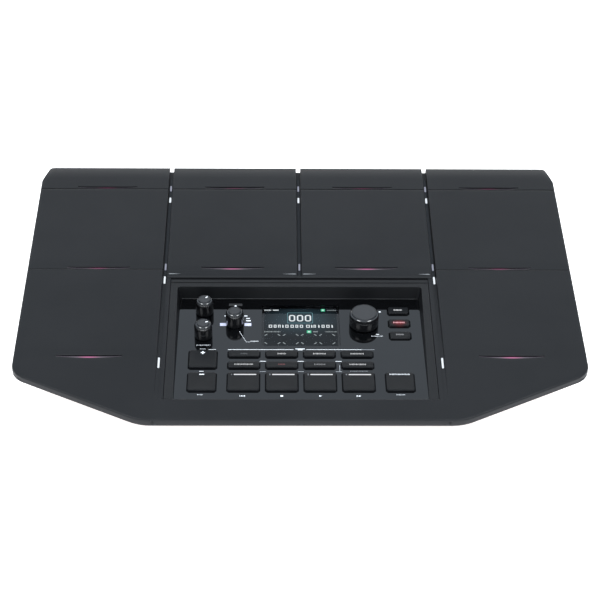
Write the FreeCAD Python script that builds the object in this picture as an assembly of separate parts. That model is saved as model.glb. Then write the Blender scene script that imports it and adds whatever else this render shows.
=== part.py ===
import FreeCAD, Part
import math
import os

os.makedirs("parts", exist_ok=True)

# Electronic percussion pad, millimetres. X to the right, Y to the rear, Z up, feet on Z = 0.
# The playing deck slopes down to the front. The control panel lies level in a recess.

# Overall sizes
width_front = 530.0
rear_taper = 4.0
depth = 353.0
front_height = 32.0
deck_slope = 5.5
front_corner_x = 120.0
front_corner_y = 58.0
rear_corner_x = 6.7
rear_corner_y = 23.0
outline_radii = {"front": 45.0, "side": 19.0, "hip": 12.0, "rear": 5.0}
smallest_corner = 3.0

# Pads and the deck under them, heights counted down from the playing surface
pad_skin = 3.0
plate_thickness = 1.2
sensor_thickness = 0.8
pad_edge_radius = 2.0
pad_lip = 6.0
deck_wall = 2.5
gap_width = 4.2
gap_end_length = 5.0
gap_end_drop = 3.5
crease_width = 0.8
rim_pad_depth = 36.5
rim_round_length = 20.0
rim_round_drop = 1.8
plate_play = 0.3
sensor_radius = 13.5
foam_radius = 17.0
foam_thickness = 1.5
foam_play = 0.2
disc_margin = 1.0

# Lights in the pads and in the gaps
slot_length = 61.0
slot_end_width = 1.2
slot_mid_width = 3.4
rim_slot_offset = 3.1
main_slot_offset = 2.9
slot_depth = 2.0
slot_play = 0.15
lower_slot_offset = 54.4
outer_slot_shift = 2.6
light_bar_width = 1.7
light_play = 0.15
rim_light_offset = 5.9
main_light_offset = -12.1
front_light_offset = 8.0
channel_light_offsets = {"rear": 11.6, "front": 45.9}
rim_light_length = 7.8
main_light_length = 7.4
front_light_length = 8.9
channel_light_lengths = {"rear": 10.0, "front": 13.0}
light_proud = 0.6
light_sunk = 0.2

# Panel buttons, laid out from the middle and the front of the panel
button_proud = 2.2
button_play = 0.25
button_flange = 0.8
button_flange_wall = 1.2
button_flange_gap = 0.3
button_travel = 0.8
button_corner = 1.4
button_edge_radius = 0.5
stem_margin = 0.8
function_width = 30.0
function_gap = 5.0
track_height = 24.9
track_margin = 11.2
menu_height = 8.75
menu_track_gap = 6.7
menu_row_gap = 7.1
side_key_width = 26.6
side_key_gap = 9.6
side_key_margin = 11.1
side_key_row_gap = 6.8
page_width = 20.8
page_height = 9.7
page_margin = 10.6
page_offsets = (19.9, 38.4, 56.7)
panel_side_margin = 11.5

# Control recess
apron_depth = 25.6
panel_depth = 147.1
panel_drop = 1.2
panel_wall = 2.5
panel_play = 0.15
recess_draft_side = 2.3
recess_draft_rear = 0.8
recess_corner = 3.0
flange_width = 8.8
flange_rear_width = 16.0
flange_drop = 1.5
flange_to_pad = 0.8
flange_to_crease = 7.8
tub_wall = 2.5
tub_play = 0.2
ledge_width = 6.0
front_ledge_width = 2.0
ledge_wall = 2.6
groove = 0.5
land_width = 3.9
channel_depth_rear = 4.2
channel_depth_front = 0.3

# Display and knobs, with distances to the front of the panel's rear edge
lens_x = 0.7
lens_offset = 40.8
lens_width = 73.6
lens_height = 61.0
lens_corner = 1.0
lens_play = 0.1
module_margin = 2.0
module_gap = 0.1
small_knob_places = {"level": (-90.9, 20.9), "phones": (-91.0, 56.5), "effect": (-61.9, 38.3)}
small_knob_radius = 8.5
small_cap_radius = 6.8
small_knob_height = 16.0
small_bevel = 4.0
small_knob_gap = 0.5
dial_place = (60.6, 38.4)
dial_radius = 13.9
dial_cap_radius = 12.1
dial_height = 14.4
dial_bevel = 3.4
dial_gap = 0.9
dial_travel = 0.6
knob_foot = 0.4
knob_rim = 0.5
knob_rim_lean = 0.25
knob_roof = 3.0
shaft_radius = 3.0
shaft_fit = 0.03
shaft_running = 0.05
shaft_end_play = 0.1
shaft_hole_play = 0.7
pot_size = (11.0, 12.0, 6.6)
pot_floor = 1.4
encoder_size = (13.0, 13.0, 7.0)
encoder_floor = 1.0
encoder_corner = 1.0
plunger_wall = 1.5
plunger_rest_gap = 0.3

# Boards
panel_board_drop = 7.9
board_wall = 1.6
board_side_play = 0.8
board_front_play = 3.0
board_rear_play = 1.0
panel_post_front = 10.0
panel_post_rear = 6.0
switch_size = 6.2
switch_wall = 3.5
switch_button_radius = 1.75
switch_button_rise = 1.0
switch_gap = 0.1
main_board_top = 22.0
main_board_depth = 72.0
main_board_setback = 7.0
main_board_margin = 22.0
main_post_inset = 8.0
main_post_rear = 30.0
main_post_middle_x = 60.0
board_post_radius = 3.2
board_hole_play = 0.2

# Lower housing
foot_height = 4.0
foot_radius = 11.0
foot_pocket = 1.0
foot_play = 0.1
foot_edge_radius = 1.0
front_foot_inset = (65.0, 93.0)
rear_foot_inset = (53.0, 37.0)
case_wall = 2.5
belt_depth = 18.0
belt_inset = 24.0
belt_inset_rear = 4.5
belt_lip = 0.6
seam_play = 0.15
tongue_play = 0.4
tongue_wall = 1.6
tongue_depth = 3.0
boss_radius = 5.0
boss_split = 14.0
boss_play = 0.5
boss_root = 0.5
screw_radius = 1.5
screw_clearance = 0.3
screw_head_radius = 3.2
screw_head_wall = 2.2
screw_recess = 0.4
screw_bite = 8.0
screw_end_play = 0.5
board_screw_head_radius = 2.7
board_screw_head_wall = 1.8
board_screw_bite = 5.0
front_screw_inset = (51.0, 113.0)
side_screw_inset = 43.0
side_screw_offset = 33.8
rear_screw_offset = 63.0
middle_screw_x = 95.0
insert_spacing_x = 120.0
insert_spacing_y = 85.0
insert_centre_y = 20.0
insert_radius = 4.0
insert_bore = 2.1
insert_length = 10.0
insert_roof = 2.0
insert_boss_radius = 7.0

# Sockets in the rear wall, places along X
rear_overhang = 4.0
socket_play = 0.25
jack_height = 31.0
jack_bore = 3.25
jack_bore_length = 24.0
jack_thread_radius = 4.7
jack_thread_proud = 0.8
jack_nut_margin = 2.3
jack_nut_wall = 2.6
jack_nut_play = 0.03
jack_body = (14.0, 22.0, 16.0)
jack_places = (-168.0, -138.0, -100.0, -70.0, -32.0, -2.0)
port_proud = 0.4
usb_places = (40.0, 66.0)
usb_shell_wall = 0.6
usb_mouths = ((8.6, 8.0), (12.6, 5.2))
usb_length = 16.0
usb_back = 4.0
dc_place = 100.0
dc_body = (9.4, 14.0, 11.0)
dc_bore = 3.1
dc_pin = 1.0
dc_pin_root = 1.0
dc_bore_length = 9.5
power_place = 140.0
power_radius = 4.6
power_length = 15.0
power_proud = 3.0
power_travel = 2.0
power_flange_radius = 6.2
power_flange_wall = 1.5
power_flange_gap = 0.3
power_switch_size = (9.0, 8.0, 12.0)

slope = math.radians(deck_slope)
pad_rise = pad_skin + plate_thickness + sensor_thickness
# The rim stands square to the sloped deck, so its foot lies further back than its top
rim_lean = (pad_rise + deck_wall + pad_edge_radius) * math.sin(slope)
front_y = -(depth + rim_lean) / 2
rear_y = front_y + depth
width_rear = width_front - rear_taper

panel_front_y = front_y + apron_depth
panel_rear_y = panel_front_y + panel_depth
function_pitch = function_width + function_gap
side_key_x = 2 * function_pitch - function_gap / 2 + side_key_gap + side_key_width / 2
panel_half_width = side_key_x + side_key_width / 2 + panel_side_margin
page_x = panel_half_width - page_margin - page_width / 2
flange_half_width = panel_half_width + flange_width
flange_rear_y = panel_rear_y + flange_rear_width
frame_inner = flange_half_width + groove
land_half_width = frame_inner + land_width
pad_inner = land_half_width + gap_width
column_pitch = land_half_width + gap_width / 2
panel_height = front_height + apron_depth * math.tan(slope) - panel_drop
panel_board_top = panel_height - panel_wall - panel_board_drop

rim_crease_y = rear_y - rim_pad_depth
main_crease_y = flange_rear_y + flange_to_crease
centre_pad_front_y = flange_rear_y + flange_to_pad
lower_slot_y = panel_front_y + lower_slot_offset
inner_slot_x = column_pitch / 2
outer_slot_x = (column_pitch + width_front / 2) / 2 - outer_slot_shift

rear_wall_y = rear_y - rear_overhang
inner_wall_y = rear_wall_y - case_wall
main_board_rear_y = rear_wall_y - main_board_setback
main_board_front_y = main_board_rear_y - main_board_depth
main_board_x = max(-jack_places[0], power_place) + main_board_margin

# Larger than the object, for cutting shapes
far = 1000.0
overrun = 20.0
tiny = 0.01


def vec(x, y, z=0.0):
    return FreeCAD.Vector(x, y, z)


def along(y):
    """Distance up the sloped deck of a plan position."""
    return (y - front_y) / math.cos(slope)


def deck_z(y, drop=0.0):
    """Height of the playing surface over a plan position, less a drop."""
    return front_height + (y - front_y) * math.tan(slope) - drop / math.cos(slope)


def on_deck(shape):
    """Turns a shape drawn on the deck (x, distance up the deck, height above it) into its place."""
    placed = shape.copy()
    placed.rotate(vec(0, 0), vec(1, 0), deck_slope)
    placed.translate(vec(0, front_y, front_height))
    return placed


def rounded_wire(points, radii, z=0.0):
    """A closed outline through the points, each corner rounded by its radius."""
    corners = []
    for i, point in enumerate(points):
        here = vec(point[0], point[1], z)
        back = vec(points[i - 1][0], points[i - 1][1], z) - here
        ahead_point = points[(i + 1) % len(points)]
        ahead = vec(ahead_point[0], ahead_point[1], z) - here
        back.normalize()
        ahead.normalize()
        half = back.getAngle(ahead) / 2
        if radii[i] <= 0:
            corners.append((here, None, here))
            continue
        reach = radii[i] / math.tan(half)
        bisector = back + ahead
        bisector.normalize()
        centre = here + bisector * (radii[i] / math.sin(half))
        middle = centre - bisector * radii[i]
        corners.append((here + back * reach, middle, here + ahead * reach))
    edges = []
    for i, (start, middle, end) in enumerate(corners):
        if middle is not None:
            edges.append(Part.Arc(start, middle, end).toShape())
        following = corners[(i + 1) % len(corners)][0]
        edges.append(Part.LineSegment(end, following).toShape())
    return Part.Wire(edges)


def prism(points, radii, low, high):
    return Part.Face(rounded_wire(points, radii, low)).extrude(vec(0, 0, high - low))


def block(x0, x1, y0, y1, z0, z1):
    return Part.makeBox(x1 - x0, y1 - y0, z1 - z0, vec(x0, y0, z0))


def centred(x, y, width, height, z0, z1, corner=0.0):
    """A box or round-cornered pillar about a plan centre."""
    points = [(x - width / 2, y - height / 2), (x + width / 2, y - height / 2),
              (x + width / 2, y + height / 2), (x - width / 2, y + height / 2)]
    return prism(points, [corner] * 4, z0, z1)


def rod(x, y, radius, z0, z1):
    return Part.makeCylinder(radius, z1 - z0, vec(x, y, z0))


def rear_rod(x, z, radius, y0, y1):
    return Part.makeCylinder(radius, y1 - y0, vec(x, y0, z), vec(0, 1, 0))


def tube(outer, inner):
    return outer.cut(inner)


def joined(shapes):
    first, rest = shapes[0], shapes[1:]
    return first.fuse(rest).removeSplitter() if rest else first


def below_deck(drop):
    """Everything under the plane that lies a drop below the playing surface."""
    return on_deck(block(-far, far, -far, far, -far, -drop))


def inset(points, distances):
    """The outline moved inwards, each edge by its own distance. Points run anticlockwise."""
    count = len(points)
    lines = []
    for i in range(count):
        a = vec(*points[i])
        b = vec(*points[(i + 1) % count])
        run = b - a
        run.normalize()
        inwards = vec(-run.y, run.x)
        lines.append((a + inwards * distances[i], run))
    moved = []
    for i in range(count):
        (p, u), (q, v) = lines[i - 1], lines[i]
        t = ((q - p).x * v.y - (q - p).y * v.x) / (u.x * v.y - u.y * v.x)
        corner = p + u * t
        moved.append((corner.x, corner.y))
    return moved


def plan_outline():
    half_front = width_front / 2
    half_rear = width_rear / 2
    right = [(half_front - front_corner_x, front_y), (half_front, front_y + front_corner_y),
             (half_rear, rear_y - rear_corner_y), (half_rear - rear_corner_x, rear_y)]
    left = [(-x, y) for x, y in reversed(right)]
    return right + left


def deck_outline():
    return [(x, along(y)) for x, y in plan_outline()]


def outline_corner_radii(step_in):
    """Radii of the outline's corners, shrunk as the outline steps in."""
    order = ["front", "side", "hip", "rear"]
    right = [max(outline_radii[name] - step_in, smallest_corner) for name in order]
    return right + right[::-1]


# Edges run front right chamfer, right side, rear right chamfer, rear, rear left chamfer, left side,
# front left chamfer, front
def edge_insets(sides, rear):
    return [sides, sides, sides, rear, sides, sides, sides, sides]


def deck_prism(step_in, low, high, rear_step=None):
    rear = step_in if rear_step is None else rear_step
    points = inset(deck_outline(), edge_insets(step_in, rear))
    return prism(points, outline_corner_radii(step_in), low, high)


def rubber_layer():
    """The whole playing layer before it is divided, with its rounded rear and outer edge."""
    rear = along(rear_y)
    start = rear - rim_round_length
    radius = (rim_round_length ** 2 + rim_round_drop ** 2) / (2 * rim_round_drop)
    turn = math.asin(rim_round_length / radius)
    middle = vec(0, start + radius * math.sin(turn / 2), radius * (math.cos(turn / 2) - 1))
    end = vec(0, rear, -rim_round_drop)
    past = vec(0, rear + overrun, -rim_round_drop - overrun * math.tan(turn))
    corners = [vec(0, -overrun, 0), vec(0, start, 0)]
    floor = [past, vec(0, rear + overrun, -far), vec(0, -overrun, -far), corners[0]]
    edges = [Part.LineSegment(*corners).toShape(), Part.Arc(corners[1], middle, end).toShape()]
    edges += [Part.LineSegment(a, b).toShape() for a, b in zip([end] + floor[:-1], floor)]
    profile = Part.Face(Part.Wire(edges)).extrude(vec(2 * far, 0))
    profile.translate(vec(-far, 0))
    layer = deck_prism(0.0, -pad_rise, 0.0).common(profile)
    top_edges = [edge for edge in layer.Edges if is_top_rim(edge, start)]
    return layer.makeFillet(pad_edge_radius, top_edges)


def is_top_rim(edge, round_start):
    """Whether an edge belongs to the closed upper rim, not to the foot or the start of the rounding."""
    box = edge.BoundBox
    reaches_down = box.ZMin < -rim_round_drop - tiny
    across = abs(box.YMin - round_start) < tiny and box.YLength < tiny
    return not reaches_down and not across


def column_span(column):
    """Left and right edges of a pad column, 1 to 4, without the outline."""
    edges = [-far, -column_pitch, 0.0, column_pitch, far]
    left = edges[column - 1] + gap_width / 2
    right = edges[column] - gap_width / 2
    return left, right


def is_outer(column):
    return column in (1, 4)


def slot_centre_x(column):
    sign = -1 if column < 3 else 1
    return sign * (outer_slot_x if is_outer(column) else inner_slot_x)


def slot_shape(x, y, low, high, play=0.0):
    """A crescent slot: straight rear edge, front edge bowed towards the player."""
    half = slot_length / 2 - play
    s = along(y)
    back = s + slot_end_width / 2 - play
    ends = s - slot_end_width / 2 + play
    bow = back - slot_mid_width + play
    edges = [Part.LineSegment(vec(x + half, back, low), vec(x - half, back, low)).toShape(),
             Part.LineSegment(vec(x - half, back, low), vec(x - half, ends, low)).toShape(),
             Part.Arc(vec(x - half, ends, low), vec(x, bow, low), vec(x + half, ends, low)).toShape(),
             Part.LineSegment(vec(x + half, ends, low), vec(x + half, back, low)).toShape()]
    return Part.Face(Part.Wire(edges)).extrude(vec(0, 0, high - low))


def pad_cells():
    """Name, x span, y span and slot position of each of the ten pads."""
    cells = []
    for column in range(1, 5):
        x0, x1 = column_span(column)
        front = main_crease_y if is_outer(column) else centre_pad_front_y
        slot_x = slot_centre_x(column)
        cells.append(("rim_pad_%d" % column, (x0, x1), (rim_crease_y + crease_width / 2, far),
                      (slot_x, rim_crease_y + rim_slot_offset)))
        cells.append(("main_pad_%d" % column, (x0, x1),
                      (front + crease_width / 2, rim_crease_y - crease_width / 2),
                      (slot_x, main_crease_y + main_slot_offset)))
    return cells


def lower_cells():
    """X span of the two lower pads with their slot positions."""
    return [((-far, -pad_inner), (-outer_slot_x, lower_slot_y)),
            ((pad_inner, far), (outer_slot_x, lower_slot_y))]


def plate_room(x_span, y_span, slot_y):
    """Plan rectangle under a pad's skin that its backing plate fills, clear of the lip and slot."""
    edge_x = width_rear / 2 - rear_corner_x - pad_lip
    x0 = max(x_span[0] + pad_lip, -edge_x)
    x1 = min(x_span[1] - pad_lip, edge_x)
    y0 = max(y_span[0] + pad_lip, slot_y + slot_mid_width)
    y1 = min(y_span[1] - pad_lip, rear_y - pad_lip)
    return x0, x1, y0, y1


def lower_plate_room(x_span):
    """The lower pad's plate starts behind its slot."""
    inner = pad_inner + pad_lip
    outer = width_rear / 2 - pad_lip
    x0, x1 = (inner, outer) if x_span[0] > 0 else (-outer, -inner)
    return x0, x1, lower_slot_y + slot_mid_width, main_crease_y - crease_width / 2 - pad_lip


def sensor_rooms():
    """Plan rectangle of every backing plate in order."""
    rooms = [plate_room(x, y, slot[1]) for _, x, y, slot in pad_cells()]
    rooms += [lower_plate_room(x) for x, _ in lower_cells()]
    return rooms


def room_block(room, low, high, play=0.0):
    x0, x1, y0, y1 = room
    return block(x0 + play, x1 - play, along(y0) + play, along(y1) - play, low, high)


def room_centre(room):
    x0, x1, y0, y1 = room
    return (x0 + x1) / 2, (along(y0) + along(y1)) / 2


def room_disc_radius(room, radius):
    """A disc's radius, kept inside a narrow rim pad."""
    return min(radius, (room[3] - room[2]) / 2 - disc_margin)


def skin_pocket(room):
    return room_block(room, -pad_rise - 1, -pad_skin)


def build_pads():
    layer = rubber_layer()
    pads = {}
    for name, x_span, y_span, slot in pad_cells():
        cell = block(x_span[0], x_span[1], along(y_span[0]), along(y_span[1]), -pad_rise - 1, 1)
        pad = layer.common(cell).cut(slot_shape(slot[0], slot[1], -pad_rise - 1, 1))
        pad = pad.cut(skin_pocket(plate_room(x_span, y_span, slot[1])))
        pads[name] = on_deck(pad)
    pads["lower_pad_skin"] = lower_skin(layer)
    return pads


def recess_plane(drop_rear, drop_front, low=0.0, high=far):
    """A layer over a plane that nears the playing surface towards the front of the recess."""
    rear = along(flange_rear_y)
    front = along(panel_front_y)
    lean = math.degrees(math.atan2(drop_rear - drop_front, rear - front))
    space = block(-far, far, -far, far, low, high)
    space.rotate(vec(0, 0), vec(1, 0), -lean)
    space.translate(vec(0, front, -drop_front))
    return space


def lower_skin(layer):
    """Both lower pads, the lands beside the bezel and the front apron, in one piece of rubber."""
    rear = along(main_crease_y) - crease_width / 2
    land_rear = along(flange_rear_y)
    front = along(panel_front_y)
    skin = layer.common(block(-far, far, -1, rear, -pad_rise - 1, 1))
    skin = skin.cut(block(-frame_inner, frame_inner, front, far, -pad_rise - 1, 1))
    skin = skin.cut(block(-pad_inner, pad_inner, land_rear, far, -pad_rise - 1, 1))
    lands = recess_plane(flange_drop, 0.0)
    channels = recess_plane(channel_depth_rear, channel_depth_front)
    for side in (-1, 1):
        x0, x1 = sorted((side * frame_inner, side * pad_inner))
        skin = skin.cut(lands.common(block(x0, x1, front, far, -pad_rise, far)))
        x0, x1 = sorted((side * land_half_width, side * pad_inner))
        skin = skin.cut(channels.common(block(x0, x1, front, far, -pad_rise, far)))
    for x_span, slot in lower_cells():
        skin = skin.cut(slot_shape(slot[0], slot[1], -pad_rise - 1, 1))
        skin = skin.cut(skin_pocket(lower_plate_room(x_span)))
    for x, y, length in channel_lights():
        skin = skin.cut(light_bar(x, y, length, -pad_rise - 1, 1, light_play))
    square_front = block(-frame_inner, frame_inner, panel_front_y - panel_play, 0, -far, far)
    return on_deck(skin).cut(square_front)


def gap_lights():
    """Place and length of each light bar that stands in the open gaps."""
    bars = []
    for x in (-column_pitch, 0.0, column_pitch):
        bars.append((x, rim_crease_y + rim_light_offset, rim_light_length))
        bars.append((x, rim_crease_y + main_light_offset, main_light_length))
        bars.append((x, main_crease_y + front_light_offset, front_light_length))
    return bars


def channel_lights():
    """Place and length of each light bar in the channels beside the recess."""
    rear = main_crease_y - channel_light_offsets["rear"]
    front = panel_front_y + channel_light_offsets["front"]
    return [(side * column_pitch, y, length) for side in (-1, 1)
            for y, length in ((rear, channel_light_lengths["rear"]), (front, channel_light_lengths["front"]))]


def light_bar(x, y, length, low, high, play=0.0):
    width = light_bar_width + 2 * play
    return centred(x, along(y), width, length + 2 * play, low, high, width / 2 - tiny)


def gap_ends():
    """Wedges that slope the floor of each open gap down to the rear edge."""
    start = along(rear_y) - gap_end_length
    stop = start + gap_end_length + overrun
    low = -pad_rise - gap_end_drop * (stop - start) / gap_end_length
    points = [vec(0, start, -pad_rise), vec(0, stop, low), vec(0, stop, 0), vec(0, start, 0)]
    wedge = Part.Face(Part.makePolygon(points + points[:1])).extrude(vec(gap_width, 0))
    ends = []
    for x in (-column_pitch, 0.0, column_pitch):
        end = wedge.copy()
        end.translate(vec(x - gap_width / 2, 0))
        ends.append(on_deck(end))
    return ends


def build_lights():
    slots = [slot for _, _, _, slot in pad_cells()] + [slot for _, slot in lower_cells()]
    guides = [on_deck(slot_shape(x, y, -pad_rise, -slot_depth, slot_play)) for x, y in slots]
    bars = [on_deck(light_bar(x, y, length, -pad_rise - deck_wall, -pad_rise + light_proud))
            for x, y, length in gap_lights()]
    rear, front = along(flange_rear_y), along(panel_front_y)
    for x, y, length in channel_lights():
        share = (along(y) - front) / (rear - front)
        floor = channel_depth_front + (channel_depth_rear - channel_depth_front) * share
        top = min(-floor + light_proud, -light_sunk)
        bars.append(on_deck(light_bar(x, y, length, -pad_rise - deck_wall, top)))
    return {"slot_light_guides": guides, "gap_light_guides": bars}


def build_pad_sensors():
    plates, discs, foams = [], [], []
    under_plate = -pad_skin - plate_thickness
    for room in sensor_rooms():
        x, s = room_centre(room)
        plates.append(on_deck(room_block(room, under_plate, -pad_skin, plate_play)))
        disc = rod(x, s, room_disc_radius(room, sensor_radius), -pad_rise, under_plate)
        discs.append(on_deck(disc))
        foam = rod(x, s, room_disc_radius(room, foam_radius), -pad_rise - foam_thickness, -pad_rise)
        foams.append(on_deck(foam))
    return {"pad_backing_plates": plates, "pad_sensors": discs, "pad_sensor_foams": foams}


def recess_void(low, high):
    """The open space of the recess: upright round the panel, a little larger above it."""
    rise = deck_z(panel_rear_y) - panel_height
    side = recess_draft_side / rise
    back = recess_draft_rear / rise
    wires = []
    for z in (panel_height, high):
        up = z - panel_height
        half = panel_half_width + side * up
        rear = panel_rear_y + back * up
        wires.append(rounded_wire([(-half, panel_front_y), (half, panel_front_y),
                                   (half, rear), (-half, rear)],
                                  [0.0, 0.0, recess_corner, recess_corner], z))
    seat = block(-panel_half_width, panel_half_width, panel_front_y, panel_rear_y, low, panel_height)
    return joined([Part.makeLoft(wires, True, True), seat])


def build_bezel():
    """Drafted tub with a top frame on the deck and a ledge for the panel."""
    ledge_low = panel_height - panel_wall - ledge_wall
    side = panel_half_width + recess_draft_side + tub_wall
    rear = panel_rear_y + recess_draft_rear + tub_wall
    front = panel_front_y - tub_wall
    tub = block(-side, side, front, rear, ledge_low, far)
    flange = on_deck(block(-flange_half_width, flange_half_width,
                           along(panel_front_y), along(flange_rear_y), -pad_rise, far))
    top = on_deck(recess_plane(flange_drop, 0.0, -far, 0.0))
    under_apron = below_deck(pad_rise).common(block(-far, far, -far, panel_front_y, -far, far))
    behind = block(-far, far, panel_front_y, far, -far, far)
    body = joined([tub.common(joined([under_apron, behind])), flange]).common(top)
    body = body.cut(recess_void(panel_height - panel_wall, deck_z(rear_y)))
    body = body.cut(block(-panel_half_width + ledge_width, panel_half_width - ledge_width,
                          panel_front_y + front_ledge_width, panel_rear_y - ledge_width, -1, far))
    posts = [tube(rod(x, y, board_post_radius, panel_board_top, ledge_low),
                  rod(x, y, screw_radius, panel_board_top, ledge_low))
             for x, y in panel_post_places()]
    return joined([body] + posts)


def panel_post_places():
    x = panel_half_width - board_post_radius
    return [(side * x, y) for side in (-1, 1)
            for y in (panel_front_y + panel_post_front, (panel_front_y + panel_rear_y) / 2,
                      panel_rear_y - panel_post_rear)]


def button_table():
    """Name, plan centre and face size of every panel button."""
    columns = [function_pitch * (i - 1.5) for i in range(4)]
    track_y = panel_front_y + track_margin + track_height / 2
    front_menu_y = track_y + track_height / 2 + menu_track_gap + menu_height / 2
    rear_menu_y = front_menu_y + menu_height + menu_row_gap
    minus_y = panel_front_y + side_key_margin + track_height / 2
    plus_y = minus_y + track_height + side_key_row_gap
    table = {"plus_button": (-side_key_x, plus_y, side_key_width, track_height),
             "minus_button": (-side_key_x, minus_y, side_key_width, track_height),
             "cancel_button": (side_key_x, track_y, side_key_width, track_height)}
    for row, y in enumerate((rear_menu_y, front_menu_y)):
        for i, x in enumerate(columns):
            table["menu_button_%d" % (4 * row + i + 1)] = (x, y, function_width, menu_height)
    for i, x in enumerate(columns):
        table["track_button_%d" % (i + 1)] = (x, track_y, function_width, track_height)
    for i, offset in enumerate(page_offsets):
        table["page_button_%d" % (i + 1)] = (page_x, panel_rear_y - offset, page_width, page_height)
    return table


def on_panel(place):
    """Plan position of a knob given by its distance in front of the panel's rear edge."""
    return place[0], panel_rear_y - place[1]


def lens_block(margin, low, high, corner):
    return centred(*on_panel((lens_x, lens_offset)), lens_width - 2 * margin, lens_height - 2 * margin,
                   low, high, corner)


def build_panel():
    half = panel_half_width - panel_play
    low = panel_height - panel_wall
    plate = block(-half, half, panel_front_y + panel_play, panel_rear_y - panel_play, low, panel_height)
    cuts = [centred(x, y, w + 2 * button_play, h + 2 * button_play, low - 1, panel_height + 1,
                    button_corner + button_play) for x, y, w, h in button_table().values()]
    cuts.append(lens_block(0.0, low - 1, panel_height + 1, lens_corner))
    for place in list(small_knob_places.values()) + [dial_place]:
        cuts.append(rod(*on_panel(place), shaft_radius + shaft_hole_play, low - 1, panel_height + 1))
    lens = lens_block(lens_play, low, panel_height, lens_corner - lens_play)
    return {"panel_plate": plate.cut(cuts), "display_lens": lens}


def switch_top():
    return panel_board_top + switch_wall + switch_button_rise


def build_buttons():
    caps = {}
    flange_top = panel_height - panel_wall - button_flange_gap
    flange_low = flange_top - button_flange_wall
    stem_low = switch_top() + button_travel + switch_gap
    for name, (x, y, w, h) in button_table().items():
        cap = centred(x, y, w, h, flange_low, panel_height + button_proud, button_corner)
        top = [edge for edge in cap.Edges if edge.BoundBox.ZMin > panel_height + button_proud - tiny]
        cap = cap.makeFillet(button_edge_radius, top)
        flange = centred(x, y, w + 2 * button_flange, h + 2 * button_flange,
                         flange_low, flange_top, button_corner)
        stem = rod(x, y, switch_button_radius + stem_margin, stem_low, flange_low)
        caps[name] = joined([cap, flange, stem])
    return caps


def knob(x, y, gap, height, radius, cap_radius, bevel):
    """A turned knob: straight skirt, sloping shoulder, flat cap, blind bore for its shaft."""
    base = panel_height + gap
    top = panel_height + height
    points = [vec(0, 0, base), vec(radius - knob_foot, 0, base), vec(radius, 0, base + knob_foot),
              vec(radius, 0, top - bevel), vec(cap_radius + knob_rim_lean, 0, top - knob_rim),
              vec(cap_radius, 0, top), vec(0, 0, top)]
    body = Part.Face(Part.makePolygon(points + points[:1])).revolve(vec(0, 0), vec(0, 0, 1), 360)
    body.translate(vec(x, y))
    return body.cut(rod(x, y, shaft_radius + shaft_fit, base - 1, top - knob_roof))


def build_knobs():
    nodes = {"pot_bodies": []}
    sx, sy, sz = pot_size
    bore_low = panel_board_top + pot_floor
    for name, place in small_knob_places.items():
        x, y = on_panel(place)
        nodes[name + "_knob"] = knob(x, y, small_knob_gap, small_knob_height, small_knob_radius,
                                     small_cap_radius, small_bevel)
        shaft_top = panel_height + small_knob_height - knob_roof - shaft_end_play
        nodes[name + "_shaft"] = rod(x, y, shaft_radius, bore_low + shaft_end_play, shaft_top)
        pot = centred(x, y, sx, sy, panel_board_top, panel_board_top + sz, encoder_corner)
        nodes["pot_bodies"].append(pot.cut(rod(x, y, shaft_radius + shaft_running, bore_low, far)))
    return nodes


def build_dial():
    x, y = on_panel(dial_place)
    sx, sy, sz = encoder_size
    bore_low = panel_board_top + encoder_floor
    plunger_low = bore_low + dial_travel + plunger_rest_gap
    plunger_top = plunger_low + plunger_wall
    body = centred(x, y, sx, sy, panel_board_top, panel_board_top + sz, encoder_corner)
    body = body.cut(rod(x, y, shaft_radius + shaft_running, bore_low, far))
    shaft_top = panel_height + dial_height - knob_roof - shaft_end_play
    return {
        "dial_knob": knob(x, y, dial_gap, dial_height, dial_radius, dial_cap_radius, dial_bevel),
        "dial_shaft": rod(x, y, shaft_radius, plunger_top + shaft_running, shaft_top),
        "dial_plunger": rod(x, y, shaft_radius, plunger_low, plunger_top),
        "encoder_body": body,
    }


def build_boards():
    """Both circuit boards with what is soldered to them."""
    half = panel_half_width - board_side_play
    low = panel_board_top - board_wall
    panel_board = block(-half, half, panel_front_y + board_front_play, panel_rear_y - board_rear_play,
                        low, panel_board_top)
    panel_board = panel_board.cut([rod(x, y, screw_radius, low - 1, far) for x, y in panel_post_places()])
    main_low = main_board_top - board_wall
    main_board = block(-main_board_x, main_board_x, main_board_front_y, main_board_rear_y,
                       main_low, main_board_top)
    main_board = main_board.common(belly(case_wall + board_side_play, foot_height))
    main_board = main_board.cut([rod(x, y, screw_radius + board_hole_play, main_low - 1, far)
                                 for x, y in main_post_places()])
    main_board = main_board.cut([rod(x, y, boss_radius + boss_play, main_low - 1, far)
                                 for x, y in screw_places()])
    switches = []
    for x, y, _, _ in button_table().values():
        case = centred(x, y, switch_size, switch_size, panel_board_top, panel_board_top + switch_wall)
        switches.append(case.fuse(rod(x, y, switch_button_radius, panel_board_top, switch_top())))
    px, py, pz = power_switch_size
    rear = power_inner_y() - power_travel - switch_gap
    switches.append(block(power_place - px / 2, power_place + px / 2, rear - py, rear,
                          main_board_top, main_board_top + pz))
    module = lens_block(module_margin, panel_board_top, panel_height - panel_wall - module_gap, lens_corner)
    return {"panel_circuit_board": panel_board, "main_circuit_board": main_board,
            "push_switches": switches, "display_module": module}


def main_post_places():
    x = main_board_x - main_post_inset
    front = main_board_front_y + main_post_inset
    rear = main_board_rear_y - main_post_rear
    return [(side * px, y) for side in (-1, 1)
            for px, y in ((x, front), (main_post_middle_x, front), (x, rear))]


def screw_places():
    """Plan positions of the case screws: along both sides and behind the recess."""
    half = width_front / 2
    side = half - side_screw_inset
    right = [(half - front_screw_inset[0], front_y + front_screw_inset[1]),
             (side, panel_rear_y + side_screw_offset),
             (side, rear_y - rear_screw_offset),
             (middle_screw_x, (flange_rear_y + main_board_front_y) / 2)]
    return [(sign * x, y) for x, y in right for sign in (-1, 1)]


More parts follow.
